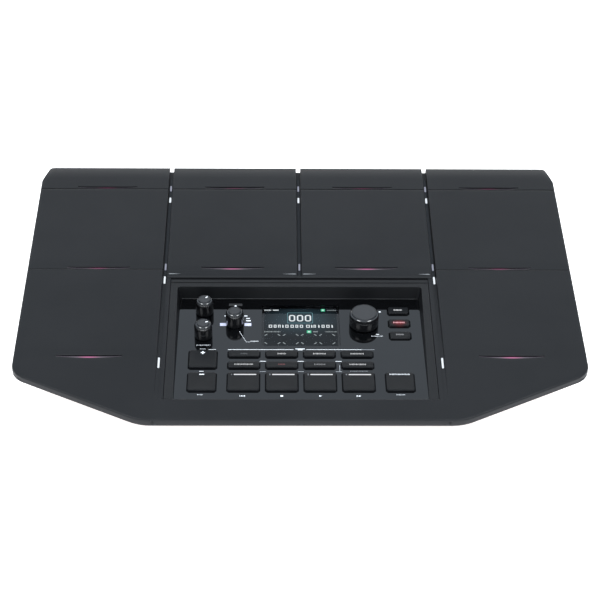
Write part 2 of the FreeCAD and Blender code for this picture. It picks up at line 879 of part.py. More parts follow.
def foot_places():
    half = width_front / 2
    return [(sign * (half - inset_x), y) for sign in (-1, 1)
            for inset_x, y in ((front_foot_inset[0], front_y + front_foot_inset[1]),
                               (rear_foot_inset[0], rear_y - rear_foot_inset[1]))]


def power_inner_y():
    return rear_wall_y + power_proud - power_length


def build_upper_housing():
    """The deck under the pads, with sensor pockets, light windows, recess opening and screw bosses."""
    under = -pad_rise - deck_wall
    deck = deck_prism(0.0, under, -pad_rise)
    belt_run = (belt_inset - belt_lip) / belt_depth
    tongue_in = belt_lip + case_wall + tongue_play + tongue_depth * belt_run
    rear_in = rear_y - rear_wall_y + case_wall + tongue_play + (tongue_depth - under) * math.sin(slope)
    tongue = tube(deck_prism(tongue_in, under - tongue_depth, under, rear_in),
                  deck_prism(tongue_in + tongue_wall, -far, far, rear_in + tongue_wall))
    body = on_deck(joined([deck, tongue]))
    side = panel_half_width + recess_draft_side + tub_wall + tub_play
    opening = block(-side, side, panel_front_y - tub_wall - tub_play,
                    panel_rear_y + recess_draft_rear + tub_wall + tub_play, -far, far)
    body = body.cut(opening)
    body = body.cut([on_deck(rod(*room_centre(room), room_disc_radius(room, foam_radius) + foam_play,
                                 -pad_rise - foam_thickness, 0)) for room in sensor_rooms()])
    body = body.cut([on_deck(light_bar(x, y, length, -far, far, light_play))
                     for x, y, length in gap_lights() + channel_lights()])
    body = body.cut(gap_ends())
    limit = below_deck(pad_rise + deck_wall - boss_root)
    bosses = []
    for x, y in screw_places():
        boss = rod(x, y, boss_radius, boss_split + seam_play, far).common(limit)
        hole = rod(x, y, screw_radius, boss_split, boss_split + screw_bite + screw_end_play)
        bosses.append(boss.cut(hole))
    return joined([body] + bosses)


def belly(step, floor):
    """The lower housing's outer form, or its hollow when stepped in by the wall."""
    top = -pad_rise - deck_wall - seam_play
    rear = belt_inset_rear
    upper = inset(deck_outline(), edge_insets(belt_lip + step, belt_lip + step))
    lower = inset(deck_outline(), edge_insets(belt_inset + step, rear + step))
    belt = Part.makeLoft([rounded_wire(upper, outline_corner_radii(belt_lip + step), top),
                          rounded_wire(lower, outline_corner_radii(belt_lip + step), top - belt_depth)],
                         True, True)
    wall = rear_y - rear_wall_y + step
    plan = inset(plan_outline(), edge_insets(belt_inset + step, wall))
    trunk = prism(plan, outline_corner_radii(belt_inset + step), floor, far)
    trunk = trunk.common(below_deck(pad_rise + deck_wall + seam_play))
    above_floor = block(-far, far, -far, far, floor, far)
    return joined([on_deck(belt).common(above_floor), trunk])


def build_lower_housing():
    floor_top = foot_height + case_wall
    shell = belly(0.0, foot_height).cut(belly(case_wall, floor_top))
    inside = belly(case_wall / 2, foot_height)
    pillars = [rod(x, y, boss_radius, foot_height, boss_split) for x, y in screw_places()]
    pillars += [rod(x, y, board_post_radius, foot_height, main_board_top - board_wall)
                for x, y in main_post_places()]
    pillars += [rod(x, y, insert_boss_radius, foot_height, foot_height + insert_length + insert_roof)
                for x, y in insert_places()]
    shell = joined([shell] + [pillar.common(inside) for pillar in pillars])
    cuts = [rod(x, y, foot_radius + foot_play, 0, foot_height + foot_pocket) for x, y in foot_places()]
    head_seat = foot_height + screw_recess + screw_head_wall
    for x, y in screw_places():
        cuts.append(rod(x, y, screw_radius + screw_clearance, 0, boss_split + 1))
        cuts.append(rod(x, y, screw_head_radius + screw_clearance, 0, head_seat))
    cuts += [rod(x, y, insert_radius, 0, foot_height + insert_length) for x, y in insert_places()]
    cuts += rear_wall_cuts()
    return shell.cut(cuts)


def rear_wall_cuts():
    start = inner_wall_y - 1
    stop = rear_y + overrun
    cuts = [rear_rod(x, jack_height, jack_thread_radius + socket_play, start, stop) for x in jack_places]
    for x, mouth in zip(usb_places, usb_mouths):
        half, rise = usb_half(mouth)
        play = socket_play
        cuts.append(block(x - half - play, x + half + play, start, stop,
                          main_board_top - play, main_board_top + rise + play))
    dx, _, dz = dc_body
    cuts.append(block(dc_place - dx / 2 - socket_play, dc_place + dx / 2 + socket_play, start, stop,
                      main_board_top - socket_play, main_board_top + dz + socket_play))
    cuts.append(rear_rod(power_place, jack_height, power_radius + socket_play, start, stop))
    return cuts


def usb_half(mouth):
    """Half width and full height of a USB port's metal shell."""
    return mouth[0] / 2 + usb_shell_wall, mouth[1] + 2 * usb_shell_wall


def insert_places():
    return [(sx * insert_spacing_x / 2, insert_centre_y + sy * insert_spacing_y / 2)
            for sx in (-1, 1) for sy in (-1, 1)]


def build_fixings():
    feet = [rod(x, y, foot_radius, 0, foot_height + foot_pocket) for x, y in foot_places()]
    feet = [foot.makeFillet(foot_edge_radius, [e for e in foot.Edges if e.BoundBox.ZMax < tiny])
            for foot in feet]
    screws = []
    for x, y in screw_places():
        head_low = foot_height + screw_recess
        head_top = head_low + screw_head_wall
        head = rod(x, y, screw_head_radius, head_low, head_top)
        screws.append(head.fuse(rod(x, y, screw_radius, head_top, boss_split + screw_bite)))
    for x, y in panel_post_places():
        under = panel_board_top - board_wall
        head = rod(x, y, board_screw_head_radius, under - board_screw_head_wall, under)
        screws.append(head.fuse(rod(x, y, screw_radius, under, panel_board_top + board_screw_bite)))
    inserts = [tube(rod(x, y, insert_radius, foot_height, foot_height + insert_length),
                    rod(x, y, insert_bore, 0, far)) for x, y in insert_places()]
    return {"rubber_feet": feet, "case_screws": screws, "stand_inserts": inserts}


def hexagon(x, z, radius):
    """A hexagonal nut blank against the rear wall."""
    points = [vec(x + radius * math.cos(math.radians(60 * k)), rear_wall_y,
                  z + radius * math.sin(math.radians(60 * k))) for k in range(7)]
    return Part.Face(Part.makePolygon(points)).extrude(vec(0, jack_nut_wall))


def build_sockets():
    jacks, nuts, ports = [], [], []
    width, length, height = jack_body
    mouth_y = rear_wall_y + jack_nut_wall + jack_thread_proud
    for x in jack_places:
        body = block(x - width / 2, x + width / 2, inner_wall_y - length, inner_wall_y,
                     main_board_top, main_board_top + height)
        neck = rear_rod(x, jack_height, jack_thread_radius, inner_wall_y, mouth_y)
        bore = rear_rod(x, jack_height, jack_bore, mouth_y - jack_bore_length, mouth_y + 1)
        jacks.append(body.fuse(neck).cut(bore))
        thread = rear_rod(x, jack_height, jack_thread_radius + jack_nut_play, inner_wall_y, mouth_y)
        nuts.append(hexagon(x, jack_height, jack_thread_radius + jack_nut_margin).cut(thread))
    front = rear_wall_y + port_proud
    for x, mouth in zip(usb_places, usb_mouths):
        half, rise = usb_half(mouth)
        shell = block(x - half, x + half, front - usb_length, front, main_board_top, main_board_top + rise)
        low = main_board_top + usb_shell_wall
        hollow = block(x - mouth[0] / 2, x + mouth[0] / 2, front - usb_length + usb_back, front + 1,
                       low, low + mouth[1])
        ports.append(shell.cut(hollow))
    dx, dy, dz = dc_body
    centre_z = main_board_top + dz / 2
    dc = block(dc_place - dx / 2, dc_place + dx / 2, front - dy, front, main_board_top, main_board_top + dz)
    dc = dc.cut(rear_rod(dc_place, centre_z, dc_bore, front - dc_bore_length, front + 1))
    pin = rear_rod(dc_place, centre_z, dc_pin, front - dc_bore_length - dc_pin_root, front - dc_pin_root)
    flange_face = inner_wall_y - power_flange_gap
    power = joined([rear_rod(power_place, jack_height, power_radius, power_inner_y(),
                             rear_wall_y + power_proud),
                    rear_rod(power_place, jack_height, power_flange_radius,
                             flange_face - power_flange_wall, flange_face)])
    return {"phone_jacks": jacks, "phone_jack_nuts": nuts, "usb_ports": ports,
            "dc_socket": dc.fuse(pin), "power_button": power}


def save(name, shape):
    solids = shape if isinstance(shape, list) else [shape]
    solid_count = sum(len(item.Solids) for item in solids)
    if solid_count == 0 or not all(item.isValid() for item in solids):
        raise ValueError("%s isn't a valid solid" % name)
    result = Part.Compound(solids) if isinstance(shape, list) else shape
    result.exportStep("parts/%s.step" % name)
    box = result.BoundBox
    print("%-22s %3d solids  X %.1f..%.1f  Y %.1f..%.1f  Z %.1f..%.1f"
          % (name, solid_count, box.XMin, box.XMax, box.YMin, box.YMax, box.ZMin, box.ZMax))


nodes = {}
for build in (build_pads, build_lights, build_pad_sensors, build_panel, build_buttons, build_knobs,
              build_dial, build_boards, build_fixings, build_sockets):
    nodes.update(build())
nodes["recess_bezel"] = build_bezel()
nodes["upper_housing"] = build_upper_housing()
nodes["lower_housing"] = build_lower_housing()
for node_name in sorted(nodes):
    save(node_name, nodes[node_name])
print(len(nodes), "nodes")
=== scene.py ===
import math
import bpy
import numpy as np
from mathutils import Euler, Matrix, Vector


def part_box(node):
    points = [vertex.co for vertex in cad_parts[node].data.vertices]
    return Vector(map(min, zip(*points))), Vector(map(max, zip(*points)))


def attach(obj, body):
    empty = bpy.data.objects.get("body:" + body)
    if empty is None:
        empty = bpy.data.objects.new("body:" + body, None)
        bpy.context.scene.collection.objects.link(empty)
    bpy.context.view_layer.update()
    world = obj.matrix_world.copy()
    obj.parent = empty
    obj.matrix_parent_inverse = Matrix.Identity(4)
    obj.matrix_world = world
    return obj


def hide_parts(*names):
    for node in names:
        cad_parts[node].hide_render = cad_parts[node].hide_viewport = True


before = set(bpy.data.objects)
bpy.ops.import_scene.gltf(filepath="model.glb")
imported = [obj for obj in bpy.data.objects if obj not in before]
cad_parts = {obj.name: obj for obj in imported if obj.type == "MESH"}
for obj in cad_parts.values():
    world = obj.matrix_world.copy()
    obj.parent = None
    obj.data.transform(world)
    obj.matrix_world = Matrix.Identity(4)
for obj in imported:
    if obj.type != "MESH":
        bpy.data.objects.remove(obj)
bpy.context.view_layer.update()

mm = 0.001

# The sloped playing deck in millimetres, as the CAD has it: places along Y, half widths along X
deck = {"slope": math.radians(5.5), "frontY": -176.955268, "frontZ": 32.0, "rubber": 5.0,
        "rearY": 176.044732, "columnPitch": 130.5, "gap": 4.2, "crease": 0.8,
        "rimCreaseY": 139.544732, "mainCreaseY": 19.544732, "centreFrontY": 12.544732,
        "recessFrontY": -151.355268, "recessRearY": 11.744732, "frameInner": 124.5,
        "landOuter": 128.4, "channelOuter": 132.6,
        "side": ((145.0, -176.955268), (265.0, -118.955268), (263.0, 153.044732), (256.3, 176.044732)),
        "sideRadii": (45.0, 19.0, 12.0, 5.0)}
slopeCos, slopeSin = math.cos(deck["slope"]), math.sin(deck["slope"])


def boxOf(name):
    # low corner, high corner and middle of a CAD piece, in millimetres
    low, high = (np.array(corner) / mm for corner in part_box(name))
    return low, high, (low + high) / 2


panelTop, keyTop, screenTop = (boxOf(name)[1][2] for name in ("panel_plate", "track_button_1", "display_module"))


# Shader maths


class Value:
    # wraps a socket, so that sums and products of it add their Math nodes
    def __init__(self, board, socket):
        self.board = board
        self.socket = socket

    def work(self, operation, *others):
        return self.board.math(operation, self, *others)

    def __add__(self, other):
        return self.work("ADD", other)

    def __radd__(self, other):
        return self.work("ADD", other)

    def __sub__(self, other):
        return self.work("SUBTRACT", other)

    def __rsub__(self, other):
        return self.board.math("SUBTRACT", other, self)

    def __mul__(self, other):
        return self.work("MULTIPLY", other)

    def __rmul__(self, other):
        return self.work("MULTIPLY", other)

    def __pow__(self, other):
        return self.work("POWER", other)

    def size(self):
        return self.work("ABSOLUTE")

    def ramp(self, low, high):
        # 0 below low, 1 above high, smooth between
        return self.board.node("ShaderNodeMapRange", {"interpolation_type": "SMOOTHSTEP"},
                               {"Value": self, "From Min": low, "From Max": high})


class Board:
    # one material's node tree with its Principled shader
    words = {"color": "Base Color", "roughness": "Roughness", "metallic": "Metallic",
             "specular": "Specular IOR Level", "normal": "Normal", "alpha": "Alpha",
             "glow": "Emission Color", "glowStrength": "Emission Strength"}

    def __init__(self, name):
        self.material = bpy.data.materials.new(name)
        self.material.use_nodes = True
        self.tree = self.material.node_tree
        self.shader = self.tree.nodes["Principled BSDF"]
        self.place = Value(self, self.tree.nodes.new("ShaderNodeTexCoord").outputs["Object"])

    def node(self, kind, settings=None, values=None, output=0):
        made = self.tree.nodes.new(kind)
        for key, setting in (settings or {}).items():
            setattr(made, key, setting)
        for key, value in (values or {}).items():
            self.feed(made.inputs[key], value)
        return Value(self, made.outputs[output])

    def feed(self, socket, value):
        # a link, a colour of three numbers or one number
        if isinstance(value, Value):
            self.tree.links.new(value.socket, socket)
        else:
            socket.default_value = (*value, 1.0) if isinstance(value, tuple) else value

    def math(self, operation, *values):
        return self.node("ShaderNodeMath", {"operation": operation}, dict(enumerate(values)))

    def set(self, **values):
        for key, value in values.items():
            self.feed(self.shader.inputs[self.words[key]], value)
        return self.material

    def noise(self, scale, detail=2.0, roughness=0.5):
        return self.node("ShaderNodeTexNoise", None, {"Vector": self.place, "Scale": scale,
                                                      "Detail": detail, "Roughness": roughness})

    def cells(self, scale):
        return self.node("ShaderNodeTexVoronoi", None, {"Vector": self.place, "Scale": scale}, "Distance")

    def blend(self, share, one, two):
        # colour one where share is 0, colour two where it is 1
        return self.node("ShaderNodeMix", {"data_type": "RGBA"}, {0: share, 6: one, 7: two}, 2)

    def bump(self, height, distance, strength, normal=None):
        values = {"Height": height, "Distance": distance, "Strength": strength}
        if normal is not None:
            values["Normal"] = normal
        return self.node("ShaderNodeBump", None, values)

    def softEdges(self, radius):
        return self.node("ShaderNodeBevel", {"samples": 4}, {"Radius": radius})

    def axes(self):
        split = self.tree.nodes.new("ShaderNodeSeparateXYZ")
        self.tree.links.new(self.place.socket, split.inputs[0])
        return [Value(self, split.outputs[i]) for i in range(3)]


def dimmed(colour, share):
    return tuple(part * share for part in colour)


def overDeck(y, z):
    # height over the sloped deck, from Object coordinates
    return (z - deck["frontZ"] * mm) * slopeCos - (y - deck["frontY"] * mm) * slopeSin


def gapOffset(x):
    # distance from a gap times distance from the middle: the same small number beside all three gaps
    return (x.size() - deck["columnPitch"] * mm).size() * x.size()


def ovalDistance(x, y, centre, weights):
    # distance from a point, with the two directions weighed
    return ((x - centre[0]) ** 2.0 * weights[0] + (y - centre[1]) ** 2.0 * weights[1]) ** 0.5


# Rubber of the pads. The pairs say over which stretch of Object coordinates each mask rises
# the darkest colour here is painted shade for the walls of gaps, creases and slots
rubber = {"dark": (0.0066, 0.0070, 0.0080), "light": (0.0084, 0.0088, 0.0098), "wall": (0.0006, 0.0006, 0.0007),
          "blotch": 9.0, "grain": 2600.0, "pores": 1700.0, "grainDepth": 0.00005,
          "wallTop": (-0.0015, -0.0007), "side": (0.250, 0.252), "front": (-0.112, -0.110),
          "rear": (0.158, 0.160), "recessSide": (0.1330, 0.1338), "recessRear": (0.0105, 0.0120)}


def rubberMaterial():
    # painted shade: the walls of gaps, creases and slots are painted darker than the playing face, and they are duller
    b = Board("pad_rubber_skin")
    x, y, z = b.axes()
    deep = 1.0 - overDeck(y, z).ramp(*rubber["wallTop"])
    inside = (1.0 - x.size().ramp(*rubber["side"])) * y.ramp(*rubber["front"]) * (1.0 - y.ramp(*rubber["rear"]))
    recess = (1.0 - x.size().ramp(*rubber["recessSide"])) * (1.0 - y.ramp(*rubber["recessRear"]))
    wall = deep * inside * (1.0 - recess)
    pores = b.cells(rubber["pores"])
    face = b.blend(b.noise(rubber["blotch"], 3.0, 0.6).ramp(0.35, 0.68), rubber["dark"], rubber["light"])
    return b.set(color=b.blend(wall, face, rubber["wall"]),
                 roughness=0.38 + b.noise(40.0, 3.0) * 0.07 - pores * 0.04 + wall * 0.5, specular=0.17,
                 normal=b.bump(b.noise(rubber["grain"], 1.0) + pores * 0.5, rubber["grainDepth"], 0.4))


# painted light and shade in the gaps: the pale colour is painted light on the floors, the edge colour painted shade
# along their sides
gapLightShade = {"pale": (0.018, 0.0208, 0.0245), "edge": (0.003, 0.0032, 0.004), "top": (-0.008, -0.007),
            "rear": (0.158, 0.164), "edgeShadeEnd": (0.0003, 0.0004), "paintedLightEnd": (0.00011, 0.00021)}


def paintGapLightShade(b, case):
    # painted light and shade: the gap floors between the pads are painted paler than the case, and their edges painted
    # darker as shade
    x, y, z = b.axes()
    off = gapOffset(x)
    gapShadeMask = overDeck(y, z).ramp(*gapLightShade["top"]) * (1.0 - y.ramp(*gapLightShade["rear"]))
    gapShadeMask = gapShadeMask * (1.0 - off.ramp(*gapLightShade["edgeShadeEnd"]))
    pale = gapShadeMask * (1.0 - off.ramp(*gapLightShade["paintedLightEnd"]))
    return b.blend(pale, b.blend(gapShadeMask, case, gapLightShade["edge"]), gapLightShade["pale"])


def mouldedMaterial(name, dark, light, grain, roughness, specular, edge=0.0004, over=None):
    # moulded plastic: fine spark texture, faint flow marks, softened edges; over lays more colour on it
    b = Board(name)
    flow = b.noise(14.0, 3.0, 0.55).ramp(0.35, 0.7)
    spark = b.noise(grain, 2.0, 0.6)
    colour = b.blend(flow, dark, light)
    return b.set(color=over(b, colour) if over else colour, roughness=roughness + spark * 0.08 + flow * 0.03,
                 specular=specular, normal=b.bump(spark, 0.00004, 0.5, b.softEdges(edge)))


def glossMaterial():
    # polished panel: faint smears in its gloss and a slow waviness
    b = Board("panel_gloss_black")
    smear = b.noise(26.0, 4.0, 0.6).ramp(0.45, 0.75)
    dust = b.cells(900.0).ramp(0.02, 0.06)
    return b.set(color=b.blend(smear, (0.0008, 0.0009, 0.0012), (0.0016, 0.0017, 0.0022)),
                 roughness=0.03 + smear * 0.03 + (1.0 - dust) * 0.04, specular=0.57,
                 normal=b.bump(b.noise(34.0, 1.0), 0.00002, 0.2))


def keyMaterial():
    # polished sides under a satin face
    b = Board("key_satin")
    spark = b.noise(3000.0)
    face = b.axes()[2].ramp((keyTop - 0.9) * mm, (keyTop - 0.12) * mm)
    return b.set(color=b.blend(b.noise(60.0).ramp(0.3, 0.7), (0.0030, 0.0033, 0.0040), (0.0042, 0.0046, 0.0054)),
                 roughness=0.14 + face * 0.32 + spark * 0.08, specular=0.155, normal=b.bump(spark, 0.00003, 0.4))


def litKeyMaterial():
    # the page key that is lit: red light leaks through its thin face round the legend
    b = Board("key_lit_red")
    x, y, _ = b.axes()
    far = ovalDistance(x, y, (0.0942, -0.0434), (1.0, 3.0))
    spill = (1.0 - far.ramp(0.001, 0.0102)) ** 1.6
    return b.set(color=(0.0034, 0.0034, 0.0038), roughness=0.45, specular=0.17,
                 glow=b.blend(spill, (0.0, 0.0, 0.0), (0.17, 0.001, 0.005)), glowStrength=1.0)


def turnedMaterial(name, dark, light, noise, roughness, spread, specular, bump):
    # knobs: one fine noise in colour, gloss and height
    b = Board(name)
    spark = b.noise(*noise)
    return b.set(color=b.blend(spark, dark, light), roughness=roughness + spark * spread, specular=specular,
                 normal=b.bump(spark, *bump))


def printMaterial(name, colour, glow):
    # painted light: a faint glow makes the print brighter than its lamps light it
    b = Board(name)
    speck = b.noise(900.0).ramp(0.3, 0.6)
    return b.set(color=b.blend(speck, dimmed(colour, 0.88), colour), roughness=0.5 + speck * 0.08,
                 glow=colour, glowStrength=glow)


def glowMaterial(name, colour, strength=1.0):
    b = Board(name)
    haze = b.noise(700.0).ramp(0.2, 0.8)
    return b.set(color=(0.02, 0.02, 0.02), roughness=0.4, specular=0.3,
                 glow=b.blend(haze, dimmed(colour, 0.92), colour), glowStrength=strength)


slotGlow = {"middle": 130.2, "reach": 64.95, "core": 6.0, "half": 12.5, "end": 23.0}


def slotGlowMaterial():
    # magenta in the middle of each slot, pale grey beside it, dark at the ends
    b = Board("slot_glow_magenta")
    x = b.axes()[0]
    off = ((x.size() - slotGlow["middle"] * mm).size() - slotGlow["reach"] * mm).size()
    core = 1.0 - off.ramp(0.0, slotGlow["half"] * mm)
    pale = 1.0 - off.ramp(slotGlow["core"] * mm, slotGlow["end"] * mm)
    side = b.blend(pale, (0.002, 0.002, 0.002), (0.10, 0.085, 0.10))
    return b.set(color=(0.03, 0.02, 0.03), roughness=0.35, specular=0.3,
                 glow=b.blend(core, side, (0.42, 0.10, 0.23)), glowStrength=1.0)


def gapGlowMaterial():
    # the bars behind the creases, at these places along Y, are dimmer than the rest
    b = Board("gap_glow_white")
    x, y, _ = b.axes()
    rear = 1.0 - (y - 0.14544).size().ramp(0.0042, 0.006)
    middle = 1.0 - (y - 0.02754).size().ramp(0.0050, 0.0066)
    soft = b.blend(gapOffset(x).ramp(0.00007, 0.00014), (0.24, 0.25, 0.32), (0.02, 0.02, 0.03))
    return b.set(color=(0.05, 0.05, 0.055), roughness=0.35,
                 glow=b.blend(rear + middle, (0.84, 0.90, 0.96), soft), glowStrength=1.0)


def lensMaterial():
    b = Board("lens_smoked")
    smear = b.noise(30.0, 3.0).ramp(0.4, 0.8)
    return b.set(color=(0.01, 0.01, 0.012), roughness=0.02 + smear * 0.03, specular=0.0, alpha=0.03 + smear * 0.02)


def screenMaterial():
    # the lit screen: teal haze round the large number, dark towards its edges
    b = Board("screen_face")
    x, y, _ = b.axes()
    grid = b.cells(5200.0).ramp(0.1, 0.6)
    far = ovalDistance(x, y, (0.0005, -0.0346), (0.55, 1.6))
    haze = (1.0 - far.ramp(0.005, 0.034)) * (0.85 + grid * 0.15)
    return b.set(color=(0.0012, 0.0014, 0.0016), roughness=0.035, specular=0.24,
                 glow=b.blend(haze, (0.003, 0.0045, 0.006), (0.020, 0.042, 0.054)), glowStrength=1.0)


def metalMaterial(name, colour, roughness):
    # plated metal with fine scratches
    b = Board(name)
    lines = b.noise(420.0, 4.0, 0.65)
    return b.set(color=b.blend(lines, dimmed(colour, 0.8), colour), metallic=1.0, roughness=roughness + lines * 0.16,
                 normal=b.bump(lines, 0.00003, 0.35, b.softEdges(0.0002)))


def boardMaterial():
    b = Board("solder_mask_green")
    trace = b.noise(160.0).ramp(0.48, 0.52)
    return b.set(color=b.blend(trace, (0.004, 0.035, 0.016), (0.008, 0.06, 0.026)),
                 roughness=0.35 + b.cells(500.0) * 0.2)


def foamMaterial():
    b = Board("grey_foam")
    pores = b.cells(900.0)
    return b.set(color=b.blend(pores, (0.02, 0.02, 0.022), (0.07, 0.07, 0.075)), roughness=0.95,
                 normal=b.bump(pores, 0.0003, 0.8))


knobTones = (0.0025, 0.0025, 0.003), (0.0045, 0.0045, 0.005)
materials = {
    "rubber": rubberMaterial(),
    # the housing takes the painted light and shade of the gap floors
    "housing": mouldedMaterial("housing_textured", (0.011, 0.011, 0.0125), (0.015, 0.015, 0.0165),
                               1500.0, 0.52, 0.2, over=paintGapLightShade),
    "bezel": mouldedMaterial("bezel_satin", (0.0038, 0.0041, 0.0047), (0.0052, 0.0055, 0.0063), 2400.0, 0.40, 0.22),
    "gloss": glossMaterial(),
    "seam": mouldedMaterial("seam_black", (0.0022, 0.0023, 0.0026), (0.0034, 0.0035, 0.0038),
                            1200.0, 0.76, 0.04, 0.0001),
    "bead": mouldedMaterial("bezel_bead", (0.010, 0.0105, 0.011), (0.013, 0.0135, 0.014), 1200.0, 0.26, 0.4, 0.0001),
    "darkPlastic": mouldedMaterial("moulded_black", (0.010, 0.010, 0.011), (0.014, 0.014, 0.015),
                                   1400.0, 0.46, 0.4, 0.0002),
    "foot": mouldedMaterial("foot_rubber", (0.014, 0.014, 0.014), (0.022, 0.022, 0.022), 1100.0, 0.81, 0.25),
    "key": keyMaterial(),
    "litKey": litKeyMaterial(),
    "knob": turnedMaterial("knob_satin_black", *knobTones, (2400.0,), 0.14, 0.04, 0.38, (0.00001, 0.15)),
    "knobRing": turnedMaterial("knob_polished_ring", *knobTones, (2400.0,), 0.03, 0.04, 0.9, (0.00001, 0.15)),
    "cap": turnedMaterial("knob_cap_grey", (0.014, 0.0152, 0.0172), (0.022, 0.0236, 0.0266),
                          (1500.0, 3.0, 0.7), 0.38, 0.1, 0.28, (0.00003, 0.4)),
    "white": printMaterial("print_white", (0.82, 0.84, 0.86), 0.12),
    "grey": printMaterial("print_grey", (0.30, 0.31, 0.33), 0.05),
    "faint": printMaterial("faint_grey_patch", (0.020, 0.020, 0.021), 0.0),
    "lilac": printMaterial("print_lilac", (0.60, 0.61, 0.78), 0.1),
    "legend": glowMaterial("legend_white", (0.95, 0.97, 1.0), 0.9),
    "dimLegend": glowMaterial("legend_dim", (0.10, 0.11, 0.12)),
    "midLegend": glowMaterial("legend_half", (0.32, 0.33, 0.35)),
    "redLegend": glowMaterial("legend_red", (1.0, 0.50, 0.55)),
    "dimRed": glowMaterial("legend_dim_red", (0.22, 0.03, 0.035)),
    "slotGlow": slotGlowMaterial(),
    "gapGlow": gapGlowMaterial(),
    # painted light on the front corners of the centre pads
    "paintedCornerLight": glowMaterial("painted_corner_light", (0.36, 0.40, 0.44)),
    "lens": lensMaterial(),
    "screen": screenMaterial(),
    "screenWhite": glowMaterial("screen_white", (0.86, 0.93, 0.96)),
    "screenBlue": glowMaterial("screen_teal", (0.10, 0.26, 0.30)),
    "screenGreen": glowMaterial("screen_green", (0.05, 0.62, 0.32)),
    "screenGrey": glowMaterial("screen_grey", (0.26, 0.30, 0.31)),
    "steel": metalMaterial("plated_steel", (0.55, 0.55, 0.57), 0.32),
    "nickel": metalMaterial("nickel_plate", (0.66, 0.66, 0.68), 0.18),
    "blackScrew": metalMaterial("black_zinc", (0.16, 0.16, 0.17), 0.34),
    "brass": metalMaterial("brass", (0.62, 0.47, 0.22), 0.3),
    "board": boardMaterial(),
    "foam": foamMaterial(),
}
print("materials made:", len(materials))


# Mesh making. A shell is a pair: vertices in millimetres, and faces as lists or arrays of corners


def addPiece(name, shell, material, body="root", replaces=None, sharp=40.0):
    vertices, faces = shell
    mesh = bpy.data.meshes.new(name)
    mesh.from_pydata((vertices * mm).tolist(), [], [list(map(int, face)) for face in faces])
    mesh.validate()
    mesh.polygons.foreach_set("use_smooth", np.ones(len(mesh.polygons), bool))
    mesh.set_sharp_from_angle(angle=math.radians(sharp))
    mesh.materials.append(materials[material])
    piece = bpy.data.objects.new(name, mesh)
    bpy.context.scene.collection.objects.link(piece)
    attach(piece, body)
    if replaces:
        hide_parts(replaces)


def joined(shells):
    # separate shells as one: each one's corners are counted on from the last
    vertices, faces, count = [], [], 0
    for points, sides in shells:
        vertices.append(points)
        faces += [np.add(side, count) for side in sides]
        count += len(points)
    return np.concatenate(vertices), faces


def gridFaces(rows, columns, wrap=False, loop=False):
    # corners of the quads between neighbouring grid points, row by row
    index = np.arange(rows * columns).reshape(rows, columns)
    if wrap:
        index = np.concatenate([index, index[:, :1]], axis=1)
    if loop:
        index = np.concatenate([index, index[:1]])
    return np.stack([index[:-1, :-1], index[:-1, 1:], index[1:, 1:], index[1:, :-1]], -1).reshape(-1, 4)


def onDeck(x, s, n):
    # deck coordinates, across, up the slope and over it, turned by the slope about the front edge
    y = deck["frontY"] + s * slopeCos - n * slopeSin
    z = deck["frontZ"] + s * slopeSin + n * slopeCos
    return np.stack(np.broadcast_arrays(x, y, z), -1)


def along(y):
    # distance up the slope of a place along Y
    return (y - deck["frontY"]) / slopeCos


def roundedChain(points, radii, steps=14):
    # an open chain of straight runs whose inner corners are arcs of the given radii
    points = np.array(points)
    chain = [points[:1]]
    for back, here, ahead, radius in zip(points, points[1:], points[2:], radii):
        u = (back - here) / np.linalg.norm(back - here)
        v = (ahead - here) / np.linalg.norm(ahead - here)
        half = math.acos(np.clip(u @ v, -1, 1)) / 2
        reach = radius / math.tan(half)
        centre = here + (u + v) / np.linalg.norm(u + v) * radius / math.sin(half)
        a, b = here + u * reach - centre, here + v * reach - centre
        turn = np.linspace(0, math.atan2(a[0] * b[1] - a[1] * b[0], a @ b), steps)[:, None]
        chain.append(centre + a * np.cos(turn) + np.array([-a[1], a[0]]) * np.sin(turn))
    return np.concatenate(chain + [points[-1:]])


sideChain = roundedChain([(0.0, 0.0), *((x, along(y)) for x, y in deck["side"]), (0.0, along(deck["rearY"]))],
                         deck["sideRadii"])


def halfWidth(s):
    # half width of the outline at each distance up the deck
    return np.interp(s, sideChain[1:-1, 1], sideChain[1:-1, 0])


def rimDistance(x, s):
    # shortest distance to the outline, over all of its segments
    p = np.stack([np.abs(x), s], -1)[..., None, :]
    a, run = sideChain[:-1], np.diff(sideChain, axis=0)
    t = np.clip(((p - a) * run).sum(-1) / (run * run).sum(-1), 0, 1)
    return np.linalg.norm(p - a - run * t[..., None], axis=-1).min(-1)


def edgeDrop(distance, radius):
    # quarter circle: radius at the edge, nothing from one radius inwards
    d = np.clip(distance, 0, radius)
    return radius - np.sqrt(np.maximum(radius ** 2 - (radius - d) ** 2, 0))


def closedShell(x, s, n, floor, keep=None):
    # height n over the deck on a grid of x and s, its flat copy at the floor, walls round every open edge
    top = onDeck(x, s, n)
    size = top.shape[:2]
    low = onDeck(x, s, np.full(size, floor))
    quads = gridFaces(*size)
    if keep is not None:
        quads = quads[keep.ravel()]
    count = size[0] * size[1]
    edges = np.concatenate([quads[:, [i, (i + 1) % 4]] for i in range(4)])
    rim = edges[~np.isin(edges @ (count, 1), edges @ (1, count))]  # edges that no neighbour runs the other way
    walls = np.stack([rim[:, 1], rim[:, 0], rim[:, 0] + count, rim[:, 1] + count], -1)
    faces = np.concatenate([quads, quads[:, ::-1] + count, walls])
    if top[0, 0, 0] > top[0, -1, 0]:  # a mirrored grid
        faces = faces[:, ::-1]
    used, compact = np.unique(faces, return_inverse=True)
    return np.concatenate([top, low]).reshape(-1, 3)[used], compact.reshape(faces.shape)


